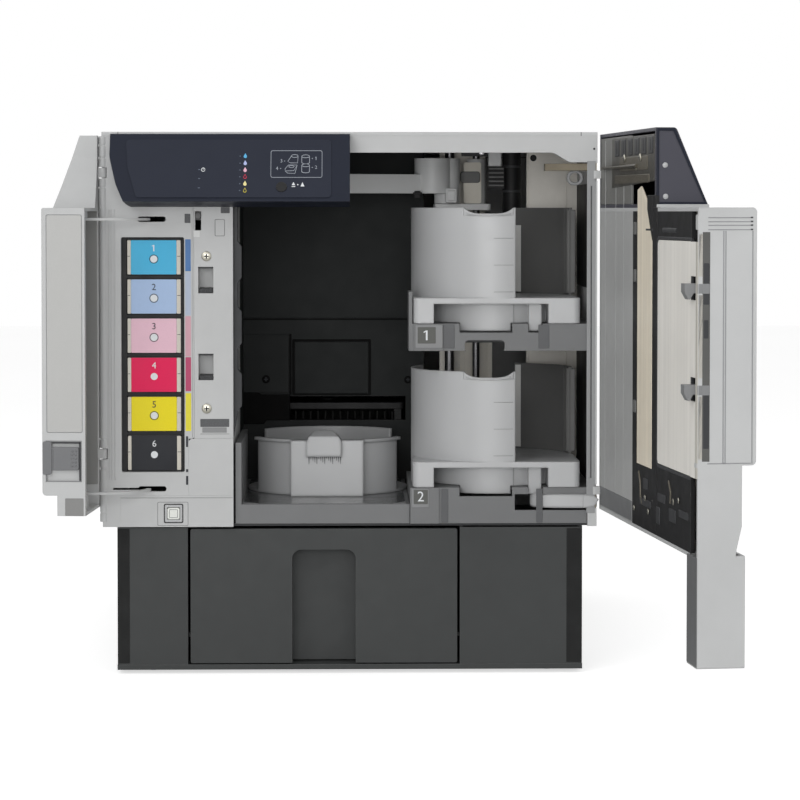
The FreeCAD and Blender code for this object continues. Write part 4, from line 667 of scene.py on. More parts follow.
# %% Shelf signs
SHELF_FACE = -211.5
sign_grey = moulded("Sign grey", paint(134, 135, 136), 0.5, 0.15)
sign_dark = printed("Sign square", paint(96, 97, 94), 0.5)
strip_grey = moulded("Shelf strip", paint(88, 89, 91), 0.5, 0.2)
SIGNS = [((50.0, 70.6, 246.6, 263.9), (51.6, 65.4, 249.9, 262.4)),
         ((47.2, 60.2, 124.4, 138.6), (48.6, 59.4, 127.0, 137.9))]
for number, (card, square) in enumerate(SIGNS, 1):
    build(f"sign_card_{number}", plates("y", SHELF_FACE - 0.3, SHELF_FACE + 0.2, (*card, 0.8)), sign_grey,
          0.1)
    build(f"sign_square_{number}", plates("y", SHELF_FACE - 0.5, SHELF_FACE, (*square, 0.5)), sign_dark,
          0.1)
    middle = (square[0] + square[1]) / 2, (square[2] + square[3]) / 2
    build(f"sign_figure_{number}", [figures(str(number), 11.0, *middle, SHELF_FACE - 0.55, 0.2)],
          white_print, 0)
build("shelf_strips", plates("y", -210.35, -209.8,
                             (70.9, 79.8, 246.0, 264.3, 0.6), (143.9, 152.2, 246.0, 264.3, 0.6),
                             (69.8, 75.0, 112.4, 138.6, 0.6), (142.4, 147.3, 112.4, 138.6, 0.6)),
      strip_grey, 0.1)
print("signs made")

# %% [markdown]
# ## Hinge barrel and ribs beside the ink bay
# The ink cover turns on a long barrel down the body's left edge. A cylinder would be plain, and a turned
# profile has the shallow rings too. It is left open where the cover's own lugs sit on the same axis,
# and stays inside the circle that the cover clears, so the cover swings round it. Thin upright ribs
# and a seam strip lie beside it.

# %% Barrel, ribs and column lines
def barrel(low, high):
    """A stretch of the barrel with a shallow ring near each end."""
    wide, narrow = 3.3, 3.0
    return turned("z", *HINGES["ink_cover"][0], [
        (narrow, low), (wide, low + 0.3), (wide, low + 6), (narrow, low + 6.4), (narrow, low + 7.4),
        (wide, low + 7.8), (wide, high - 7.8), (narrow, high - 7.4), (narrow, high - 6.4),
        (wide, high - 6), (wide, high - 0.3), (narrow, high)])


shade_line = moulded("Seam shadow", paint(138, 139, 140), 0.6, 0.1)
build("ink_hinge_barrel", [barrel(114, 161.6), barrel(170.4, 375.6), barrel(384.4, 407.6)], light_shell,
      0)
build("bezel_ribs", plates("y", FRONT - 0.35, FRONT + 0.2,
                           *[(x, x + 0.7, 146, 352, 0.2) for x in (-183.4, -181.6, -179.2)]),
      light_shell)
build("column_seam_strip", plates("y", -212.5, -209.2, (-119.95, -118.75, 178, 357)), light_shell,
      0.1)
build("column_outline", [border("y", FRONT + 0.85, COLUMN_FRONT, (-102.8, -95.1, 331.7, 344.7, 1.0),
                                (-102.3, -95.6, 332.2, 344.2, 0.8))], shade_line, 0.05)
build("column_lower_lines", plates("y", FRONT + 0.85, COLUMN_FRONT, (-114.2, -92.0, 180.8, 181.2))
      + plates("y", FRONT + 0.9, COLUMN_FRONT, (-112.6, -94.0, 182.0, 186.0, 0.4)), shade_line,
      0.05)
print("barrel, ribs and column lines made")

# %% [markdown]
# ## Pillar, lintel and base edges
# The right pillar has a raised bar and a dark groove, the lintel a small dot, the sill a seam, and the
# base's rounded corners fall away into shade. A rounder corner in the solid would do that last one,
# and a dark strip of painted shade on the flat face gives the same edge from the front with far less shape.

# %% Pillar and base edges
pillar_grey = moulded("Pillar face", paint(150, 151, 152), 0.5)
corner_shade_dark = moulded("Base corner painted shade", paint(12, 13, 13), 0.75)
build("pillar_face", plates("y", FRONT - 0.15, FRONT + 0.2, (180.6, 187.2, 120.0, 389.0, 0.3))
      + plates("y", FRONT - 0.6, FRONT + 0.1, (182.2, 183.4, 147.0, 370.0, 0.3)), pillar_grey)
build("pillar_groove", plates("y", FRONT - 0.2, FRONT + 0.1, (183.7, 184.4, 147.0, 370.0)), dark_trim,
      0)
build("lintel_dot", [slab("y", FRONT - 0.15, FRONT + 0.1, disc(186.0, 398.2, 0.85, 20))], dark_trim,
      0)
# Painted shade: near-black strips on the base's front stand for the shade on its rounded corners.
build("base_corner_shade_strips", plates("y", -210.3, -209.8, (-177.6, -168.4, 5.0, 108.4, 0.6),
                                   (165.8, 177.6, 5.0, 108.4, 0.6)), corner_shade_dark, 0.2)
build("sill_seam", plates("y", FRONT - 0.1, FRONT + 0.2, (-175.0, -89.2, 132.1, 132.5)), shade_line,
      0)
print("pillar, lintel and base edges made")

# %% [markdown]
# ## Keepers
# The door's hooks drop into two keepers. Each has a dark upper edge and a dark, ribbed sill low in the
# pocket, below the hook's path; their dark grey is painted shade in the pocket. A sloped sill could be a
# box turned a little, but an outline pushed along x has the slope in it from the start.

# %% Keeper sills
KEEPERS = (298.4, 232.2)
sills = []
for middle in KEEPERS:
    for back, shape in ((-211.8, (-9.8, -6.4, -5.8)), (-211.6, (8.8, 9.9, 9.9))):
        base, near, far = (middle + rise for rise in shape)
        sills.append(slab("x", -114.6, -104.4, [(back, base), (back, near), (-202, far), (-202, base)]))
    sills += plates("y", -212.0, -211.5, *[(x, x + 0.5, middle - 9.6, middle - 6.6)
                                           for x in (-113.2, -111.4, -109.6, -107.8, -106.0)])
# Painted shade: the sills' dark grey stands for the shade in the keeper pockets.
build("keeper_pocket_shade", sills, dark_trim, 0.1)
print("keeper sills made")

# %% [markdown]
# ## Power button's surround
# The white button sits in a pale bezel inside a thin black outline. Cutting rings into the sill would
# need booleans. Bands between two rounded rectangles give the same rings with clean edges. They share
# one centre, so each is given by its half width and half height.

# %% Button surround
def cap_square(half_x, half_z, radius):
    x, z = -134.6, 120.4
    return (x - half_x, x + half_x, z - half_z, z + half_z, radius)


build("button_outline", [border("y", FRONT - 0.35, FRONT + 0.3, cap_square(7.4, 7.4, 1.4),
                                cap_square(6.7, 6.7, 1.0))], chamber_black, 0.1)
build("button_bezel", [border("y", FRONT - 0.15, FRONT + 0.3, cap_square(6.6, 6.6, 1.0),
                              cap_square(4.9, 4.7, 0.5))], cup_grey)
build("button_recess", [border("y", FRONT - 0.1, FRONT + 0.2, (-146.9, -123.4, 110.9, 129.2, 1.0),
                               (-146.5, -123.8, 111.3, 128.8, 0.8))], shade_line, 0)
build("button_cap_line", [border("y", -214.06, -213.8, (-137.9, -131.3, 117.2, 123.6, 0.6),
                                 (-137.5, -131.7, 117.6, 123.2, 0.4))], shade_line, 0,
      "power_button")
print("button surround made")

# %% [markdown]
# ## Ink cover
# The open cover's end faces forward. A bare card covers most of it, where a handling label would be,
# inside a thin line, and a pocket lies below. Its sides, the gap round its lever and a plate on the foot
# are darker greys as painted shade. Linings on the inner walls, one darker than the other, are painted
# shade too. Faces of the shell could be given these colours, but thin plates leave the solid as it is
# and have a cut edge of their own. They are drawn in the shut position and swung open with the cover.

# %% Cover shade linings and card
END = -122.5


def on_cover(name, solids, finish, bevel=0.15, body="ink_cover"):
    return build(name, solids, finish, bevel, body, "ink_cover")


cover_shade_lining = moulded("Ink cover painted shade", paint(142, 142, 140), 0.55)
cover_deep_shade = moulded("Ink cover painted deep shade", paint(60, 60, 59), 0.55)
foot_shade_grey = moulded("Cover foot painted shade", paint(132, 132, 131), 0.5)
handling_card = printed("Handling card", paint(187, 187, 185), 0.45, 0.03)
# Painted shade: two linings inside the cover, the deep one darker, stand for the shade on its inner walls.
on_cover("ink_cover_shade_liner", plates("x", -186.4, -185.0, (-243.0, -215.0, 142.8, 350.6, 1.0)),
         cover_shade_lining, 0.2)
on_cover("ink_cover_deep_shade_liner", plates("y", -244.4, -242.7, (-184.8, -126.0, 142.6, 350.8, 1.0)),
         cover_deep_shade, 0.2)
# Painted shade: a darker grey plate on the cover's foot stands for the shade on its slanted facets.
on_cover("ink_cover_foot_shade", plates("x", END - 0.1, END + 0.15, (-229.1, -215.4, 125.6, 138.6, 0.6)),
         foot_shade_grey, 0.1)
on_cover("ink_cover_blank_panel", plates("x", END - 0.1, END + 0.15, (-242.2, -216.4, 187.7, 347.8, 1.2)),
         handling_card, 0.08)
on_cover("ink_cover_panel_edge", [border("x", END - 0.1, END + 0.12, (-242.7, -215.9, 187.2, 348.3, 1.4),
                                         (-242.3, -216.3, 187.6, 347.9, 1.2))], shade_line, 0)
# Painted shade: the pocket's sides and the gap beside the lever are darker for the shade in the recess.
on_cover("ink_cover_pocket_shade", [border("x", END - 2.3, END - 0.3, (-243.6, -216.4, 150.5, 181.4),
                                           (-242.9, -217.3, 151.3, 180.4))], shade_line, 0.1)
on_cover("ink_lever_gap_shade", plates("x", END - 1.4, END - 0.3, (-218.6, -217.5, 151.6, 180.2),
                                 (-238.6, -217.5, 179.2, 180.3)), dark_trim, 0)
print("ink cover linings and card made")

# %% [markdown]
# ## Ink cover's lever
# A grey lever with a wide thumb bar slides in the pocket. Rows of shallow domes give grip. Halved
# spheres would do for the domes, but a turned profile has far fewer faces. All of it is one mesh,
# which slides with its own body.

# %% Lever
lever_grey = moulded("Ink lever grey", paint(112, 113, 115), 0.45, 0.2)
dome = [(0.75, END - 0.3), (0.75, END + 0.4), (0.5, END + 0.75), (0.1, END + 0.85)]
lever = on_cover("ink_latch_lever", (
    plates("x", END - 2.2, END + 0.35, (-241.2, -218.9, 159.4, 176.6, 1.2))
    + plates("x", END - 0.1, END + 1.0, (-245.6, -239.0, 156.2, 180.8, 1.4))
    + plates("x", END - 0.2, END + 0.65, (-238.4, -237.6, 160.4, 175.6, 0.3))
    + [turned("x", y, z, dome, 16) for y in (-223.4, -220.8) for z in (162.6, 165.4, 168.2, 171.0, 173.6)]
), lever_grey, 0.2, "ink_latch")
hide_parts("ink_latch")
print("lever made")

# %% [markdown]
# ## Chamber back
# The dark wall behind the bin is moulded in steps: raised plates, a black box beside the mouth, a row
# of guide ribs and two screws. Faces of the wall could be inset and pushed out. Slabs laid on it are
# easier to place and size, and their bevelled edges catch light as moulded ones do. The grooves
# between them are a shade blacker than the wall.

# %% Wall plates and ribs
WALL = -13.0
build("wall_plates", plates("y", WALL - 1.6, WALL + 0.5, (-91.5, -51.0, 199.0, 247.6, 1.5))
      + plates("y", WALL - 1.4, WALL + 0.5, (-46.2, 15.4, 198.4, 241.6, 1.2))
      + plates("y", WALL - 1.0, WALL + 0.5, (-91.5, 61.5, 262.0, 404.0, 1.0)), wall_dark, 0.5)
build("wall_grooves", [
    *plates("y", WALL - 0.25, WALL + 0.1, (-91.5, 61.5, 259.8, 261.2), (-50.8, -48.9, 197.0, 248.2)),
    border("y", WALL - 0.3, WALL + 0.1, (-48.4, 17.6, 196.8, 243.8, 1.0), (-46.4, 15.6, 198.2, 241.8, 0.8)),
], wall_black, 0)
build("wall_black_box", [slab("y", WALL - 2.4, WALL + 0.5, [
    (-92, 173), (-72, 173), (-70, 176), (-50.2, 176),
    (-50.2, 197.6), (-74, 197.6), (-76, 199.4), (-92, 199.4)])], wall_black, 0.6)
build("mouth_ribs", plates("y", WALL - 0.6, WALL + 2.0,
                           *[(x, x + 1.3, 176.6, 183.4, 0.4) for x in [-46 + 6.2 * i for i in range(14)]]),
      rubber_black, 0.2)
screws("wall_screws", [(-70.2, 210.4, WALL - 1.6, 3.4), (48.5, 209.8, WALL, 3.2)], wall_black)
print("wall plates and ribs made")

# %% [markdown]
# ## Tray floor and column side
# The bay's floor is polished and mirrors the bin. A glossy finish on the whole tray would shine on its
# rims too, so a thin film with low roughness lies on the floor alone. The column's side facing the bay
# has shallow steps, drawn as one outline.

# %% Tray floor and column steps
floor_gloss = moulded("Polished tray floor", paint(92, 93, 94), 0.2, 0.05, 1.2, 0.1, 0.2, 0.4, 0.5)
build("tray_floor_film", [slab("z", 126.55, 126.85, [
    (-81.5, -204.5), (42.5, -204.5), (42.5, -17), (-82.5, -17)])], floor_gloss, 0.05)
build("tray_corner_webs", [slab("z", 126.6, 126.95, [(a, -205), (b, -205), (a, -190)])
                           for a, b in ((-82.8, -70), (43.0, 33.0))], sign_grey, 0.1)
steps = [(-89.0, 178)]
for z in (214, 262, 312):
    steps += [(-85.6, z - 16), (-82.6, z - 12), (-82.6, z + 12), (-85.6, z + 16)]
build("column_side_bumps", [slab("y", -206.0, -200.0, steps + [(-85.6, 356), (-89.0, 356)])], dark_trim,
      0.4)
print("tray floor and column steps made")

# %% [markdown]
# ## Centre bin
# Under the hood at the bin's front hangs a comb of short teeth that keeps discs from sliding up. An
# array modifier could repeat one tooth, but the teeth differ a little in length, as the real comb's
# do. So a loop draws each one, as a thin outline that narrows downwards.

# %% Bin comb
teeth = []
for i in range(17):
    x, foot = -32.6 + 1.55 * i, 152.6 + 1.3 * (i * 7 % 4)
    teeth.append(slab("y", -156.5, -155.8, [(x, 159.4), (x + 0.75, 159.4), (x + 0.5, foot), (x + 0.25, foot)]))
build("bin_comb", teeth, dark_trim, 0, "stacker_3")
print("comb made of", len(teeth), "teeth")

# %% [markdown]
# ## Cups
# The thumb notch in a cup's rim is a shallow curve. The solid has a square notch, so a thin curved
# filler with an arched top turns it into one. Level marks are faint lines on the wall. A paler upright
# strip at the guide's right end is a painted highlight, where the guide's curve catches the light. Flat
# plates could be bent to the cup with a modifier, but a wall laid out by angle about the cup's centre
# follows it exactly.

# %% Notch fillers, level marks and guide highlights
CUP = (112.0, -147.0)


def round_wall(inner, outer, start, end, low, high, steps=24):
    """A stretch of curved wall about the cup's centre. low and high are heights, or take 0 to 1 along it."""
    points, faces = [], []
    for step in range(steps + 1):
        share = step / steps
        angle = math.radians(start + (end - start) * share)
        z0 = low(share) if callable(low) else low
        z1 = high(share) if callable(high) else high
        for radius, z in ((inner, z0), (outer, z0), (outer, z1), (inner, z1)):
            points.append((CUP[0] + radius * math.cos(angle), CUP[1] + radius * math.sin(angle), z))
        if step:
            faces += bridges(4 * step - 4, 4 * step, 4)
    return points, faces + [[0, 1, 2, 3], [4 * steps + i for i in range(4)]]


wall_pale = moulded("Pale wall beside the guide", paint(226, 226, 223), 0.5)
guide_highlight_grey = moulded("Guide painted highlight", paint(120, 120, 119), 0.4, 0.2, edge=0.9)
for number, rim, gap in ((1, 353.5, 14.0), (2, 228.1, 1.2)):
    body, foot = f"stacker_{number}", rim - 67.5

    def sunk(depth, bend, power=2):
        """A height below the rim that bends up or down towards both ends of a notch."""
        return lambda share: rim - depth + bend * (2 * share - 1) ** power

    build(f"cup_{number}_notch", [round_wall(61.75, 63.85, 246.6, 281.7, rim - 6.3, sunk(4.6, 4.6, 4))],
          cup_soft, 0.3, body)
    build(f"cup_{number}_notch_lip", [round_wall(62.6, 64.9, 249.0, 279.6, sunk(6.6, 1.6), sunk(5.4, 1.6))],
          cup_soft, 0.4, body)
    build(f"cup_{number}_marks", [round_wall(63.9, 64.12, 268.0, 281.5, rim - depth, rim - depth + 0.35)
                                  for depth in (23.5, 44.0, 64.5)], shade_line, 0, body)
    build(f"cup_{number}_rim", [round_wall(61.2, 64.1, 150.2, 246.0, rim - 1.4, rim)], cup_soft,
          0.5, body)
    # Painted highlight: a paler strip down the guide's right end where its curve catches the light.
    build(f"guide_{number}_highlight", [round_wall(60.2, 61.7, 9.0, 17.0, foot, rim - 1.2, 8)], guide_highlight_grey,
          0.4, body)
    build(f"guide_{number}_crease", [round_wall(60.9, 61.7, 18.6, 19.6, foot, rim - 1.2, 3)], guide_grey,
          0.2, body)
    build(f"guide_{number}_flange", plates("y", -138.2, -136.4, (171.8, 178.2, foot, rim - 1.6, 0.6)),
          guide_grey, 0.5, body)
    build(f"guide_{number}_gap", [round_wall(59.9, 60.3, 64.4, 69.0, foot, rim - gap, 6)], wall_pale,
          0.05, body)
    build(f"base_{number}_lines", plates("y", -201.0, -200.6,
                                         *[(x, x + 0.35, rim - 88.0, rim - 74.2) for x in (125.4, 136.4)]),
          shade_line, 0, body)
print("cup details made")

# %% [markdown]
# ## Lift bay
# Above the cups the lift shows a flat cream cable in a grey clamp, a black bracket with a screw, a pale
# cover beside the motor, and a small box and clip on the arm. What moves with the arm or carriage rides
# on it. Everything else hangs from the fixed frame, outside the arm's sweep. A cable could be a curve,
# but it hangs straight here, so a plate with fine raised lines is enough.

# %% Cables and clamp
cream_cable = printed("Cream flat cable", paint(246, 241, 230), 0.5, 0.04)
build("carriage_cable", plates("y", -32.4, -31.4, (94.2, 108.8, 357.2, 391.2, 1.6))
      + plates("y", -32.55, -32.3, *[(x, x + 0.35, 357.4, 391.0)
                                     for x in [95.6 + 1.35 * i for i in range(10)]]),
      cream_cable, 0.05, "lift_carriage")
build("cable_clamp", plates("y", -34.2, -32.6, (91.4, 107.8, 374.2, 383.6, 2.2)), guide_grey,
      0.5, "lift_carriage")
build("guide_cable", plates("y", -13.4, -12.3, (92.0, 119.0, 114.0, 349.0, 2.5))
      + plates("y", -13.6, -13.2, *[(x, x + 0.5, 114.5, 348.5) for x in (96.0, 100.0, 111.0, 115.0)]),
      cream_cable)
print("cables and clamp made")

# %% [markdown]
# ## Bracket, motor cover and arm box
# Bent sheet and small moulded boxes sit round the lift's motor and arm. A cube with loops cut in could
# be folded into each. One or two plates with rounded corners and a bevel look the same at this size.

# %% Bracket, motor cover and arm fittings
build("head_bracket", plates("y", -71.6, -69.6, (90.6, 111.4, 395.4, 404.8, 0.8))
      + plates("z", 403.2, 404.9, (90.6, 111.4, -70, -58)), dark_trim, 0.3)
screws("head_screw", [(107.4, 398.6, -71.6, 2.6)], bright_steel)
build("motor_shield", plates("y", -82.0, -81.0, (112.2, 122.6, 388.2, 400.0, 1.0))
      + plates("z", 387.3, 388.4, (112.2, 122.6, -82, -74)), arm_grey, 0.25)
# Three slightly raised rings round the black motor drum; their paler grey is a painted highlight.
build("motor_highlight_rings", [turned("z", 131.5, -73.0, [(7.6, z), (7.9, z + 0.4), (7.9, z + 1.6), (7.6, z + 2.0)])
                     for z in (346.0, 366.0, 386.0)], dark_trim, 0)
build("gearbox_ribs", plates("y", -81.2, -80.3, *[(112.4, 124.6, z, z + 1.2, 0.3)
                                                  for z in (371, 374.4, 377.8, 381.2, 384.6)]),
      guide_grey, 0.2)
build("arm_clip", plates("y", -65.6, -62.0, (52.6, 57.6, 361.2, 367.4, 0.6))
      + plates("y", -66.2, -62.0, (51.4, 58.8, 364.6, 366.2, 0.4)), chamber_black,
      0.3, "transfer_arm")
build("arm_box", plates("y", -67.6, -56.0, (78.2, 87.2, 357.6, 369.4, 1.4))
      + plates("y", -68.1, -67.0, (79.6, 85.8, 359.2, 367.6, 0.8)), arm_grey,
      0.5, "transfer_arm")
build("plate_hole_washer", [slab("y", -67.15, -66.9, disc(151.0, 397.0, 3.2))], zinc_sheet,
      0.05)
# Painted shadow: a black disc on the rear plate stands for a hole and the shade inside it.
build("plate_hole", [slab("y", -67.3, -66.9, disc(149.6, 394.1, 2.7))], chamber_black, 0)
build("plate_edge", plates("y", -67.7, -66.9, (144.4, 146.0, 113.0, 404.0, 0.4),
                           (176.0, 177.0, 113.0, 404.0, 0.4)), zinc_sheet, 0.2)
# Painted shade: black sheets on the right cover's inner face stand for the shade in the bay, between the
# shelves.
build("side_cover_shade", plates("x", 184.9, 185.6, *[(-204.0, -70.0, z0, z1, 1.0) for z0, z1 in
                                                 ((141.0, 242.5), (291.0, 372.0), (389.0, 404.0))]),
      chamber_black, 0.2)
print("lift bay fittings made")

# %% [markdown]
# ## Door arms
# Two arms stand out from the body at the door's hinge. The upper one carries a clip ring and a screw,
# and the lower one is a long pale arm with a pointed tip at the sill. They stay with the body, so they
# are drawn where they stand. The lower arm bends in plan. A curve with a flat section could follow the
# bend, but one outline pushed upwards with a wide bevel gives its soft shape in a step.

# %% Arm clip, tip and cover
build("upper_arm_clip", [border("y", -196.0, -193.2, (166.6, 179.2, 370.6, 382.2, 5.2),
                                (169.0, 176.8, 373.0, 380.0, 3.4))], latch_grey, 0.6)
build("lower_arm_tip", [slab("y", -213.5, -212.9, [
    (178.0, 124.0), (186.6, 125.4), (190.3, 130.6), (186.0, 133.4), (178.0, 133.8)])], cup_soft,
    0.2)
screws("upper_arm_screws", [(173.0, 384.6, -193.4, 2.2)], brass_steel)
build("lower_arm_cover", [slab("z", 123.7, 134.2, [
    (137.5, -199.0), (140.0, -204.5), (146.0, -208.8), (155.0, -211.4), (168.0, -212.4), (189.0, -212.4),
    (189.0, -208.2), (170.0, -207.6), (156.0, -204.4), (146.0, -199.0)])], cup_soft, 1.6)
print("door arms made")

# %% [markdown]
# ## Disc door
# The open door shows its inner side at a glancing angle and its free end straight on. Two frosted panes
# fill the openings. Frosted sheet scatters light, so it is nearly opaque with a little light let
# through, and faint upright lines come from noise squeezed along z. Everything on the door is drawn
# shut and swung open.

# %% Frosted panes
def on_door(name, solids, finish, bevel=0.15):
    return build(name, solids, finish, bevel, "disc_door", "disc_door")


def frosted(name, colour):
    """Frosted plastic that lets some light through, with the faint upright lines of drawn sheet."""
    finish, shader = new_finish(name)
    where = place(finish)
    drawn = put(finish, "Mapping", {"Vector": where, "Scale": (1, 1, 0.02)}).outputs["Vector"]
    lines = noise(finish, drawn, 7, 5, 0.7)
    fill(finish, shader, {
        "Base Color": ramp(finish, lines, [(0.3, tinted(colour, 0.9)), (0.7, tinted(colour, 1.06))]),
        "Transmission Weight": 0.04, "IOR": 1.4, "Normal": bump(finish, 0.1, 0.0002, lines),
        "Roughness": spread(finish, noise(finish, where, 12, 3), 0.35, 0.5),
    })
    return finish


pane_cream = frosted("Frosted cream pane", paint(248, 245, 238))
pane_warm = frosted("Frosted warm pane", paint(244, 234, 214))
pane_edge_shade = printed("Pane edge painted shade", paint(190, 187, 179), 0.5)
on_door("main_inner_pane", [slab("y", -214.9, -213.7, [
    (-103.4, 182.0), (-101.4, 176.2), (-8.0, 176.2), (-5.6, 179.0),
    (-5.6, 328.4), (-8.4, 331.0), (-101.6, 331.0), (-103.4, 328.4)])], pane_cream, 0.3)
on_door("pane_outer_edge", plates("y", -214.6, -213.35, *[(-115.4, -102.5, z0, z1, 0.4) for z0, z1 in (
    (176.2, 226.4), (242.0, 292.6), (308.2, 330.8))]), pane_cream, 0.1)
# Painted shade: the panes' edge strips at the free end are a darker cream than the panes, for the shade on
# them.
on_door("pane_end_edge_shade", plates("y", -214.6, -213.4, (-120.2, -115.5, 176.2, 330.8, 0.6))
        + plates("x", -120.5, -120.1, *[(-217.0, -214.2, z0, z1, 0.4) for z0, z1 in (
            (189.0, 230.2), (242.0, 296.4), (308.2, 336.0))]), pane_edge_shade, 0.1)
on_door("narrow_inner_pane", [slab("y", -214.9, -213.5, [
    (11.0, 170.4), (57.0, 170.4), (57.0, 366.0), (46.0, 368.5), (11.0, 348.0)])], pane_warm,
    0.3)
on_door("pane_frame", [border("y", -215.4, -213.4, (-104.4, -4.4, 173.6, 333.4, 4.0),
                              (-102.6, -6.2, 175.8, 331.4, 3.0))], dark_trim, 0.3)
on_door("pane_post", plates("y", -216.4, -213.6, (-4.2, 10.4, 128.0, 353.4, 1.0),
                            (0.8, 10.4, 352.0, 362.0, 1.0))
        + [slab("y", -216.4, -213.4, [(10.4, 330), (26, 352), (26, 362), (10.4, 362)])],
        chamber_black, 0.4)
print("panes and their frame made")

# %% [markdown]
# ## Door liner
# Beside the panes the door has a pale liner with ribs, a foot and a darker edge with three fittings.
# Lines in the finish would vanish at the glancing angle of the open door. Plates a few tenths of a
# millimetre apart in depth give the joints between them a real shadow.

# %% Liner
band_grey = moulded("Band liner", paint(118, 118, 115), 0.45, 0.2, 0.7, 0.06, 0.3, 0.8)
edge_grey = moulded("Liner edge", paint(96, 94, 90), 0.5)
on_door("band_liner", plates("y", -216.0, -214.2, (80.0, 186.0, 355.8, 405.6)), band_grey, 0.3)
on_door("liner_ribs", plates("y", -214.2, -213.85,
                             *[(x, x + 0.8, 127.0, 404.0, 0.3) for x in (104.0, 131.0, 168.0)]),
        liner_grey, 0.25)
on_door("liner_foot", plates("y", -214.6, -213.6, (74.0, 185.5, 126.5, 141.0, 0.8)), shelf_grey,
        0.4)
on_door("liner_edge", plates("y", -216.0, -214.1, (58.0, 73.0, 128.0, 352.0, 0.6)), edge_grey,
        0.3)
on_door("edge_fittings", plates("y", -216.2, -213.4,
                                *[(62.0, 70.0, z, z + 9, 1.0) for z in (334.0, 300.0, 206.0)]),
        guide_grey, 0.5)
print("liner made")

# %% [markdown]
# ## Hinge block in the band
# The slate band holds the hinge's workings: a dark brown block with a row of bars and slits, an olive
# plate with three screws, a rod and a strut. The bars and slits could be cut with booleans, but plates
# at stepped depths read the same. Oily metal in shade looks brown, so its finish is only part metal. A
# rod with a step in it is a turned profile along x.

# %% Block, plate and rods
block_brown = moulded("Hinge block", paint(62, 60, 55), 0.4, 0.3, 0.8, 0.12, 0.6, 0.8)
plate_olive = plated("Hinge plate", paint(102, 97, 86), 0.4, ALONG, 0.5, 0.12)
rod_brown = plated("Strut rod", paint(78, 74, 64), 0.35, ALONG, 0.6, 0.14)
on_door("hinge_block", [slab("y", -217.2, -213.6, [
    (6.0, 372.0), (144.0, 368.0), (144.0, 404.6), (6.0, 404.6)])], block_brown, 0.4)
on_door("hinge_block_bars", plates("y", -217.4, -213.1, *[(x, x + 14, 391.0, 403.2, 1.0)
                                                          for x in range(8, 119, 22)]),
        dark_trim, 0.6)
on_door("hinge_block_slits", plates("y", -213.4, -213.06, *[(x, x + 3.4, 393.0, 401.6, 0.8)
                                                            for x in range(13, 124, 22)]),
        chamber_black, 0.2)
on_door("hinge_plate", plates("y", -214.0, -213.2, (26.0, 116.0, 380.0, 390.0, 1.2),
                              (20.0, 132.0, 371.0, 377.0, 1.0)), plate_olive, 0.3)
screws("hinge_plate_screws", [(x, z, -213.2, radius) for x, z, radius in (
    (98.7, 389.2, 3.0), (46.8, 388.8, 3.0), (60.0, 381.6, 1.8))], brass_steel, "disc_door", "disc_door", out=1)
on_door("hinge_rod", [turned("x", -216.0, 337.8, [
    (2.6, -60.0), (2.6, -20.0), (2.0, -19.6), (2.0, 8.0), (2.6, 8.4), (2.6, 30.0)])],
        dark_trim, 0)
on_door("strut_rod", [turned("x", -212.6, 383.0, [
    (1.2, 56.0), (1.5, 56.4), (1.5, 90.0), (1.2, 90.4), (1.2, 176.0)], 20)], rod_brown, 0)
print("hinge block made")

# %% [markdown]
# ## Band's end and the door's foot
# The band's end has a dark rim in the shape of its section, two pale screws and a lip below. Small
# fittings, levers and screws are scattered along the door's foot. Their real shapes would be lost at
# this size, so each is a plate or a bent strip.

# %% Band end and foot
on_door("band_end_screws", [turned("x", y, z, [(1.9, 2.1), (1.9, 1.7), (1.2, 1.2), (0.2, 1.1)])
                            for y, z in ((-220.6, 382.8), (-221.0, 361.0))], cup_grey, 0)
on_door("band_end_rim", [hoop("x", 1.0, 2.4,
                              [(-214.4, 408.6), (-227.6, 408.6), (-251.6, 354.2), (-214.4, 354.2)],
                              [(-216.2, 406.6), (-226.4, 406.6), (-248.6, 357.2), (-216.2, 357.2)])],
        panel_navy, 0.4)
on_door("band_foot_lip", plates("x", 0.6, 2.6, (-251.8, -214.4, 352.2, 355.6, 0.6)), light_shell,
        0.3)
on_door("foot_fittings", plates("y", -216.6, -213.5, *[(*side, 0.8) for side in (
    (-96, -70, 146, 151), (-60, -42, 140, 149), (-30, -8, 150, 156),
    (-14, -4, 134, 146), (14, 48, 142, 147), (24, 36, 154, 162))]), dark_trim, 0.4)
screws("foot_screws", [
    (-52.0, 154.0, -214.4, 2.4), (8.0, 148.0, -214.4, 2.4), (30.0, 148.0, -213.5, 2.2),
    (65.8, 137.2, -213.7, 2.0), (20.0, 139.5, -213.5, 2.0), (-69.9, 156.8, -213.5, 2.0),
], brass_steel, "disc_door", "disc_door", out=1)
on_door("foot_levers", [
    ribbon("y", -214.8, -213.3, 2.4, [(52.0, 165.0), (47.0, 158.0), (46.0, 148.0), (40.0, 143.0)]),
    ribbon("y", -214.8, -213.3, 2.2, [(-40.0, 167.0), (-46.0, 160.0), (-45.0, 152.0)]),
], plate_olive, 0.4)
print("band end and foot made")

# %% [markdown]
# ## Free end
# The door's free end faces the viewer: grooves and ticks run round it, and a channel holds the latch,
# its dark grey painted shade in the recess. The real grooves are cut in. Lines a tenth of a millimetre
# proud in a darker grey read the same and leave the shell's mesh alone.

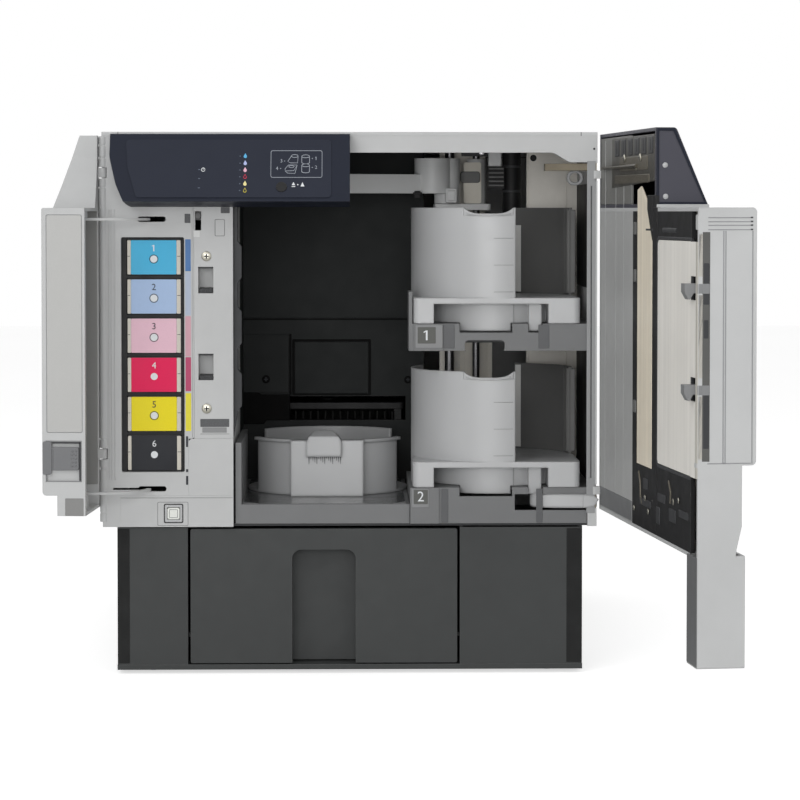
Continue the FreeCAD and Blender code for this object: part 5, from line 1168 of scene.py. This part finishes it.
# %% Grooves and channel
FREE = -120.5
TICK_Z = (346.2, 343.6, 341.2, 338.4)
groove = moulded("Groove shadow", paint(150, 151, 153), 0.6, 0.1)
channel_shade = moulded("Latch channel painted shade", paint(84, 84, 82), 0.5, 0.3, 0.8, 0.1)
on_door("end_grooves", plates("x", FREE - 0.08, FREE + 0.2,
                              *[(-249.4, -220.4, z, z + 0.7) for z in (*TICK_Z, 185.9)],
                              *[(y, y + 0.8, 186.0, 338.0) for y in (-232.6, -231.2, -250.6)]),
        groove, 0)
on_door("end_ticks", plates("x", FREE - 0.1, FREE + 0.2, *[(-250.4, -248.8, z, z + 1.0) for z in TICK_Z]),
        dark_trim, 0)
# Painted shade: the latch channel is a flat darker grey plate for the shade in its recess.
on_door("end_channel", plates("x", FREE - 0.1, FREE + 0.2, (-221.8, -216.8, 187.6, 337.2)), channel_shade,
        0.05)
on_door("end_channel_box", plates("x", FREE - 0.2, FREE + 0.2, (-221.4, -217.4, 290.0, 317.0, 0.6),
                                  (-221.4, -217.4, 196.0, 232.0, 0.6), (-220.8, -217.6, 268.0, 280.0, 0.6)),
        dark_trim, 0.1)
on_door("end_tabs", plates("y", -214.6, -213.65, (-120.4, -114.0, 338.6, 348.6, 1.0))
        + plates("y", -214.6, -213.3, (-120.4, -114.0, 183.2, 186.6, 0.6)), light_shell, 0.4)
print("free end made")

# %% [markdown]
# ## Latch hooks
# Two hooks on one bar drop into the keepers when the door shuts. Each hook is an outline pushed along
# x, with a plate on the door's end and one on its inner face. They could be separate pieces, but they
# slide as one, so they share a mesh on the latch's own body and take the place of its plain solid. The
# leg below them has its inner face painted darker, as painted shade.

# %% Hooks and leg face
hooks = plates("x", -114.7, -104.7, (-225.0, -220.2, 196.0, 340.0, 0.8))
for middle in KEEPERS:
    under, top = middle - 1.3, middle + 5.2
    hooks.append(slab("x", -114.7, -104.7, [
        (-221.0, top), (-206.3, top), (-206.3, middle - 0.4), (-208.9, middle - 5.2),
        (-209.9, middle - 5.2), (-212.4, middle - 1.2), (-221.0, middle - 1.2)]))
    hooks += plates("x", FREE - 0.3, FREE + 0.1, (-221.6, -216.6, under, top, 0.4))
    hooks += plates("x", FREE - 0.01, FREE + 0.2, (-217.2, -214.2, under, top, 0.2))
    hooks += plates("y", -214.9, -213.5, (-120.4, -114.6, under, top, 0.4))
hook_piece = build("door_latch_hooks", hooks, latch_grey, 0.4, "door_latch", "disc_door")
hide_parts("door_latch")
leg_shade_grey = moulded("Leg inner face painted shade", paint(104, 105, 106), 0.5)
# Painted shade: the leg's inner face is a darker grey plate for the shade on it.
on_door("leg_inner_face_shade", plates("y", -214.2, -213.7, (-119.8, -92.8, 52.4, 124.5, 0.6)), leg_shade_grey,
        0.2)
print("hooks made for", len(KEEPERS), "keepers")

# %% [markdown]
# ## Score lines on the covers
# The outer covers are plain sheets, and a scored seam is most of what tells their size. A seam could be
# a thin proud line, as on the sides below. The top and the back reach the edge of the printer's box,
# where nothing may stand out, so there the seam is scored into the finish itself, where a coordinate
# is near a line.

# %% Scored covers
def scored(name, lines):
    """The light shell plastic with dark score lines at set levels along x, y or z, in millimetres."""
    finish = moulded(name, SHELL, 0.52)
    shader = next(node for node in finish.node_tree.nodes if node.type == "BSDF_PRINCIPLED")
    plain = shader.inputs["Base Color"].links[0].from_socket
    where, mask, half_line = put(finish, "SeparateXYZ", {0: place(finish)}).outputs, 0.0, 0.00035
    for axis, level in lines:
        near = math_node(finish, "COMPARE", where[axis], level / 1000, half_line)
        mask = math_node(finish, "MAXIMUM", mask, near)
    fill(finish, shader, {"Base Color": put(finish, "MixRGB", {
        "Fac": mask, "Color1": plain, "Color2": tinted(SHELL, 0.35)}).outputs["Color"]})
    return finish


dress("top_cover", scored("Scored top", [("X", -176), ("X", 176), ("Y", -196), ("Y", 202)]))
dress("back_panel", scored("Scored back", [("X", -178), ("X", 178), ("Z", 118), ("Z", 400), ("Z", 302)]))
print("top and back scored")

# %% [markdown]
# ## Side seams and screws
# Each side has a seam round its cover, a straight seam low down and two rows of screws. Scoring would
# do here too, but the sides have room to spare, and a thin proud band needs no finish of its own. Both
# sides are the same but for the way out, so one loop makes them.

# %% Sides
for side, word in ((-1, "left"), (1, "right")):
    face = side * 188.5
    low, high = sorted((face - side * 0.2, face + side * 0.12))
    build(f"{word}_cover_seam", [
        border("x", low, high, (-198, 204, 117, 401, 6), (-197.4, 203.4, 117.6, 400.4, 5.6)),
        *plates("x", low, high, (-197, 203, 136.0, 136.5))], shade_line, 0)
    screws(f"{word}_cover_screws", [(y, 126.5, face, 3.0) for y in (-180.0, 6.0, 186.0)], bright_steel,
           out=side, axis="x")
    screws(f"{word}_base_screws", [(y, 96.0, side * 178.0, 2.8) for y in (-176.0, 176.0)], dark_trim,
           out=side, axis="x")
print("side seams and screws made")

# %% [markdown]
# ## Rear and base
# The back has the mains inlet with its three blades, the data port with its tongue, a screen behind the
# vent slots, and a blank rating plate on the base. Sockets could be cut from blocks with booleans. But a
# socket is a rim round an opening and a tube going in from it, so two bands make one with no cutting.

# %% Inlet, port and rating plate
build("inlet_face", [
    border("y", 212.2, 212.9, (120.5, 147.5, 132.5, 153.5, 1.5), (124.3, 143.7, 136.3, 149.7, 1.5)),
    border("y", 197.0, 212.4, (124.1, 143.9, 136.1, 149.9, 1.6), (124.9, 143.1, 136.9, 149.1, 1.3)),
    *plates("y", 196.7, 197.4, (124.4, 143.6, 136.4, 149.6, 1.0))], rubber_black, 0.2)
build("inlet_blades", plates("y", 197.2, 208.0, *[(x - 0.8, x + 0.8, z, z + 3.6, 0.3) for x, z in (
    (134.0, 143.4), (129.0, 138.6), (139.0, 138.6))]), brass_steel, 0.2)
build("port_face", [
    border("y", 212.2, 212.9, (90.3, 101.7, 132.3, 143.7, 0.8), (92.8, 99.2, 134.8, 141.2, 0.8)),
    border("y", 201.0, 212.4, (92.6, 99.4, 134.6, 141.4, 0.8), (93.0, 99.0, 135.0, 141.0, 0.6))],
    bright_steel, 0.1)
build("port_tongue", plates("y", 201.2, 209.5, (94.4, 97.6, 136.6, 139.4, 0.4)), button_white,
      0.2)
build("vent_screen", plates("y", 208.6, 209.4, (-154.0, -46.0, 316.0, 380.0, 1.0)), chamber_black,
      0.1)
build("rating_plate_blank", plates("y", 209.8, 210.35, (-60.0, 22.0, 34.0, 74.0, 2.0)), pale_card,
      0.1)
build("rating_plate_frame", [border("y", 210.2, 210.45, (-58.0, 20.0, 36.0, 72.0, 1.4),
                                    (-57.4, 19.4, 36.6, 71.4, 1.1))], shade_line, 0)
screws("rear_base_screws", [(x, z, 210.0, 3.0) for x in (-166.0, 166.0) for z in (20.0, 96.0)],
       bright_steel, out=1)
print("rear and base details made")

# %% [markdown]
# ## Floor
# A catalogue shot stands on white, with only a soft shadow under the object. A plain white floor would
# turn grey away from the lamps. A little light of its own, seen by the camera alone, lifts it to white
# and keeps the shadow.

# %% Stage
def stage_finish():
    """A white floor that keeps the printer's shadow."""
    finish, shader = new_finish("White floor")
    patches = noise(finish, place(finish), 600, 3)
    fill(finish, shader, {
        "Base Color": ramp(finish, patches, [(0.2, (0.86, 0.86, 0.86, 1)), (0.8, (0.9, 0.9, 0.9, 1))]),
        "Roughness": 0.9, "Specular IOR Level": 0.1})
    direct = math_node(finish, "MULTIPLY", put(finish, "LightPath").outputs["Is Camera Ray"], 0.62)
    glow = put(finish, "Emission", {"Color": (1, 1, 1, 1), "Strength": direct})
    lifted = put(finish, "AddShader", {0: shader.outputs[0], 1: glow.outputs[0]})
    out = next(node for node in finish.node_tree.nodes if node.type == "OUTPUT_MATERIAL")
    fill(finish, out, {0: lifted.outputs[0]})
    return finish


floor_mesh = bpy.data.meshes.new("Floor")
floor_mesh.from_pydata([(x, y, -0.003) for x, y in rect(-6, 6, -6, 6)], [], [[0, 1, 2, 3]])
floor_mesh.materials.append(stage_finish())
floor = bpy.data.objects.new("Floor", floor_mesh)
bpy.context.scene.collection.objects.link(floor)
print("floor laid")

# %% [markdown]
# ## Light from all round
# A studio's white walls show in shiny faces and behind the object, and yet light it only softly. One
# plain white world would wash the shadows out. Two backgrounds are mixed instead: a white one for rays
# that the camera sees, straight, mirrored or through a pane, and a dimmer one for all others.

# %% World
world = bpy.data.worlds.new("Studio")
bpy.context.scene.world = world
world.use_nodes = True
world.node_tree.nodes.clear()
rays = put(world, "LightPath").outputs
seen = math_node(world, "MAXIMUM", rays["Is Camera Ray"], rays["Is Glossy Ray"])
seen = math_node(world, "MAXIMUM", seen, rays["Is Transmission Ray"])
dim, white = (put(world, "Background", {"Color": (1, 1, 1, 1), "Strength": power}) for power in (0.36, 1.0))
blend = put(world, "MixShader", {0: seen, 1: dim.outputs[0], 2: white.outputs[0]})
put(world, "OutputWorld", {"Surface": blend.outputs[0]})
print("world made")

# %% [markdown]
# ## Lamps
# Broad lamps in front, above and at both sides give soft light at a plain level. A sun would throw one
# hard shadow, and small lamps would leave bright spots on the shell. Sizes and places are in metres.

# %% Area lamps
def lamp(name, spot, target, size, power):
    data = bpy.data.lights.new(name, "AREA")
    data.shape, data.size, data.size_y, data.energy = "RECTANGLE", size[0], size[1], power
    holder = bpy.data.objects.new(name, data)
    holder.location = spot
    holder.rotation_euler = (Vector(target) - Vector(spot)).to_track_quat("-Z", "Y").to_euler()
    bpy.context.scene.collection.objects.link(holder)


lamp("Front lamp", (-0.25, -2.6, 0.5), (0, -0.1, 0.24), (1.3, 0.9), 17.5)
lamp("Key lamp", (-1.2, -1.9, 1.6), (0, -0.2, 0.2), (1.4, 1.2), 10)
lamp("Fill lamp", (1.5, -1.8, 0.9), (0, -0.2, 0.2), (1.4, 1.4), 4)
lamp("Top lamp", (0.0, -0.3, 1.9), (0, 0, 0.2), (1.4, 1.4), 6)
print("lamps set:", len(bpy.data.lights))

# %% [markdown]
# ## Camera
# The camera stands about two metres off, level with the top of the cups, with a long lens, as a
# catalogue shot would be taken. The lens is shifted a little, which frames the printer and keeps its
# upright edges upright, where tilting the camera further would not.

# %% Camera
YAW, PITCH = 1.07, -2.0
shot = bpy.data.cameras.new("Catalogue camera")
shot.sensor_width, shot.lens, shot.shift_y, shot.clip_end = 36.0, 120.6, -0.119, 50
camera = bpy.data.objects.new("Catalogue camera", shot)
camera.location = (0.0, -2.253, 0.35075)
camera.rotation_euler = (math.radians(90 + PITCH), 0, math.radians(-YAW))
bpy.context.scene.collection.objects.link(camera)
bpy.context.scene.camera = camera
bpy.context.scene.view_settings.view_transform = "Standard"
print("camera at", tuple(round(v, 3) for v in camera.location))
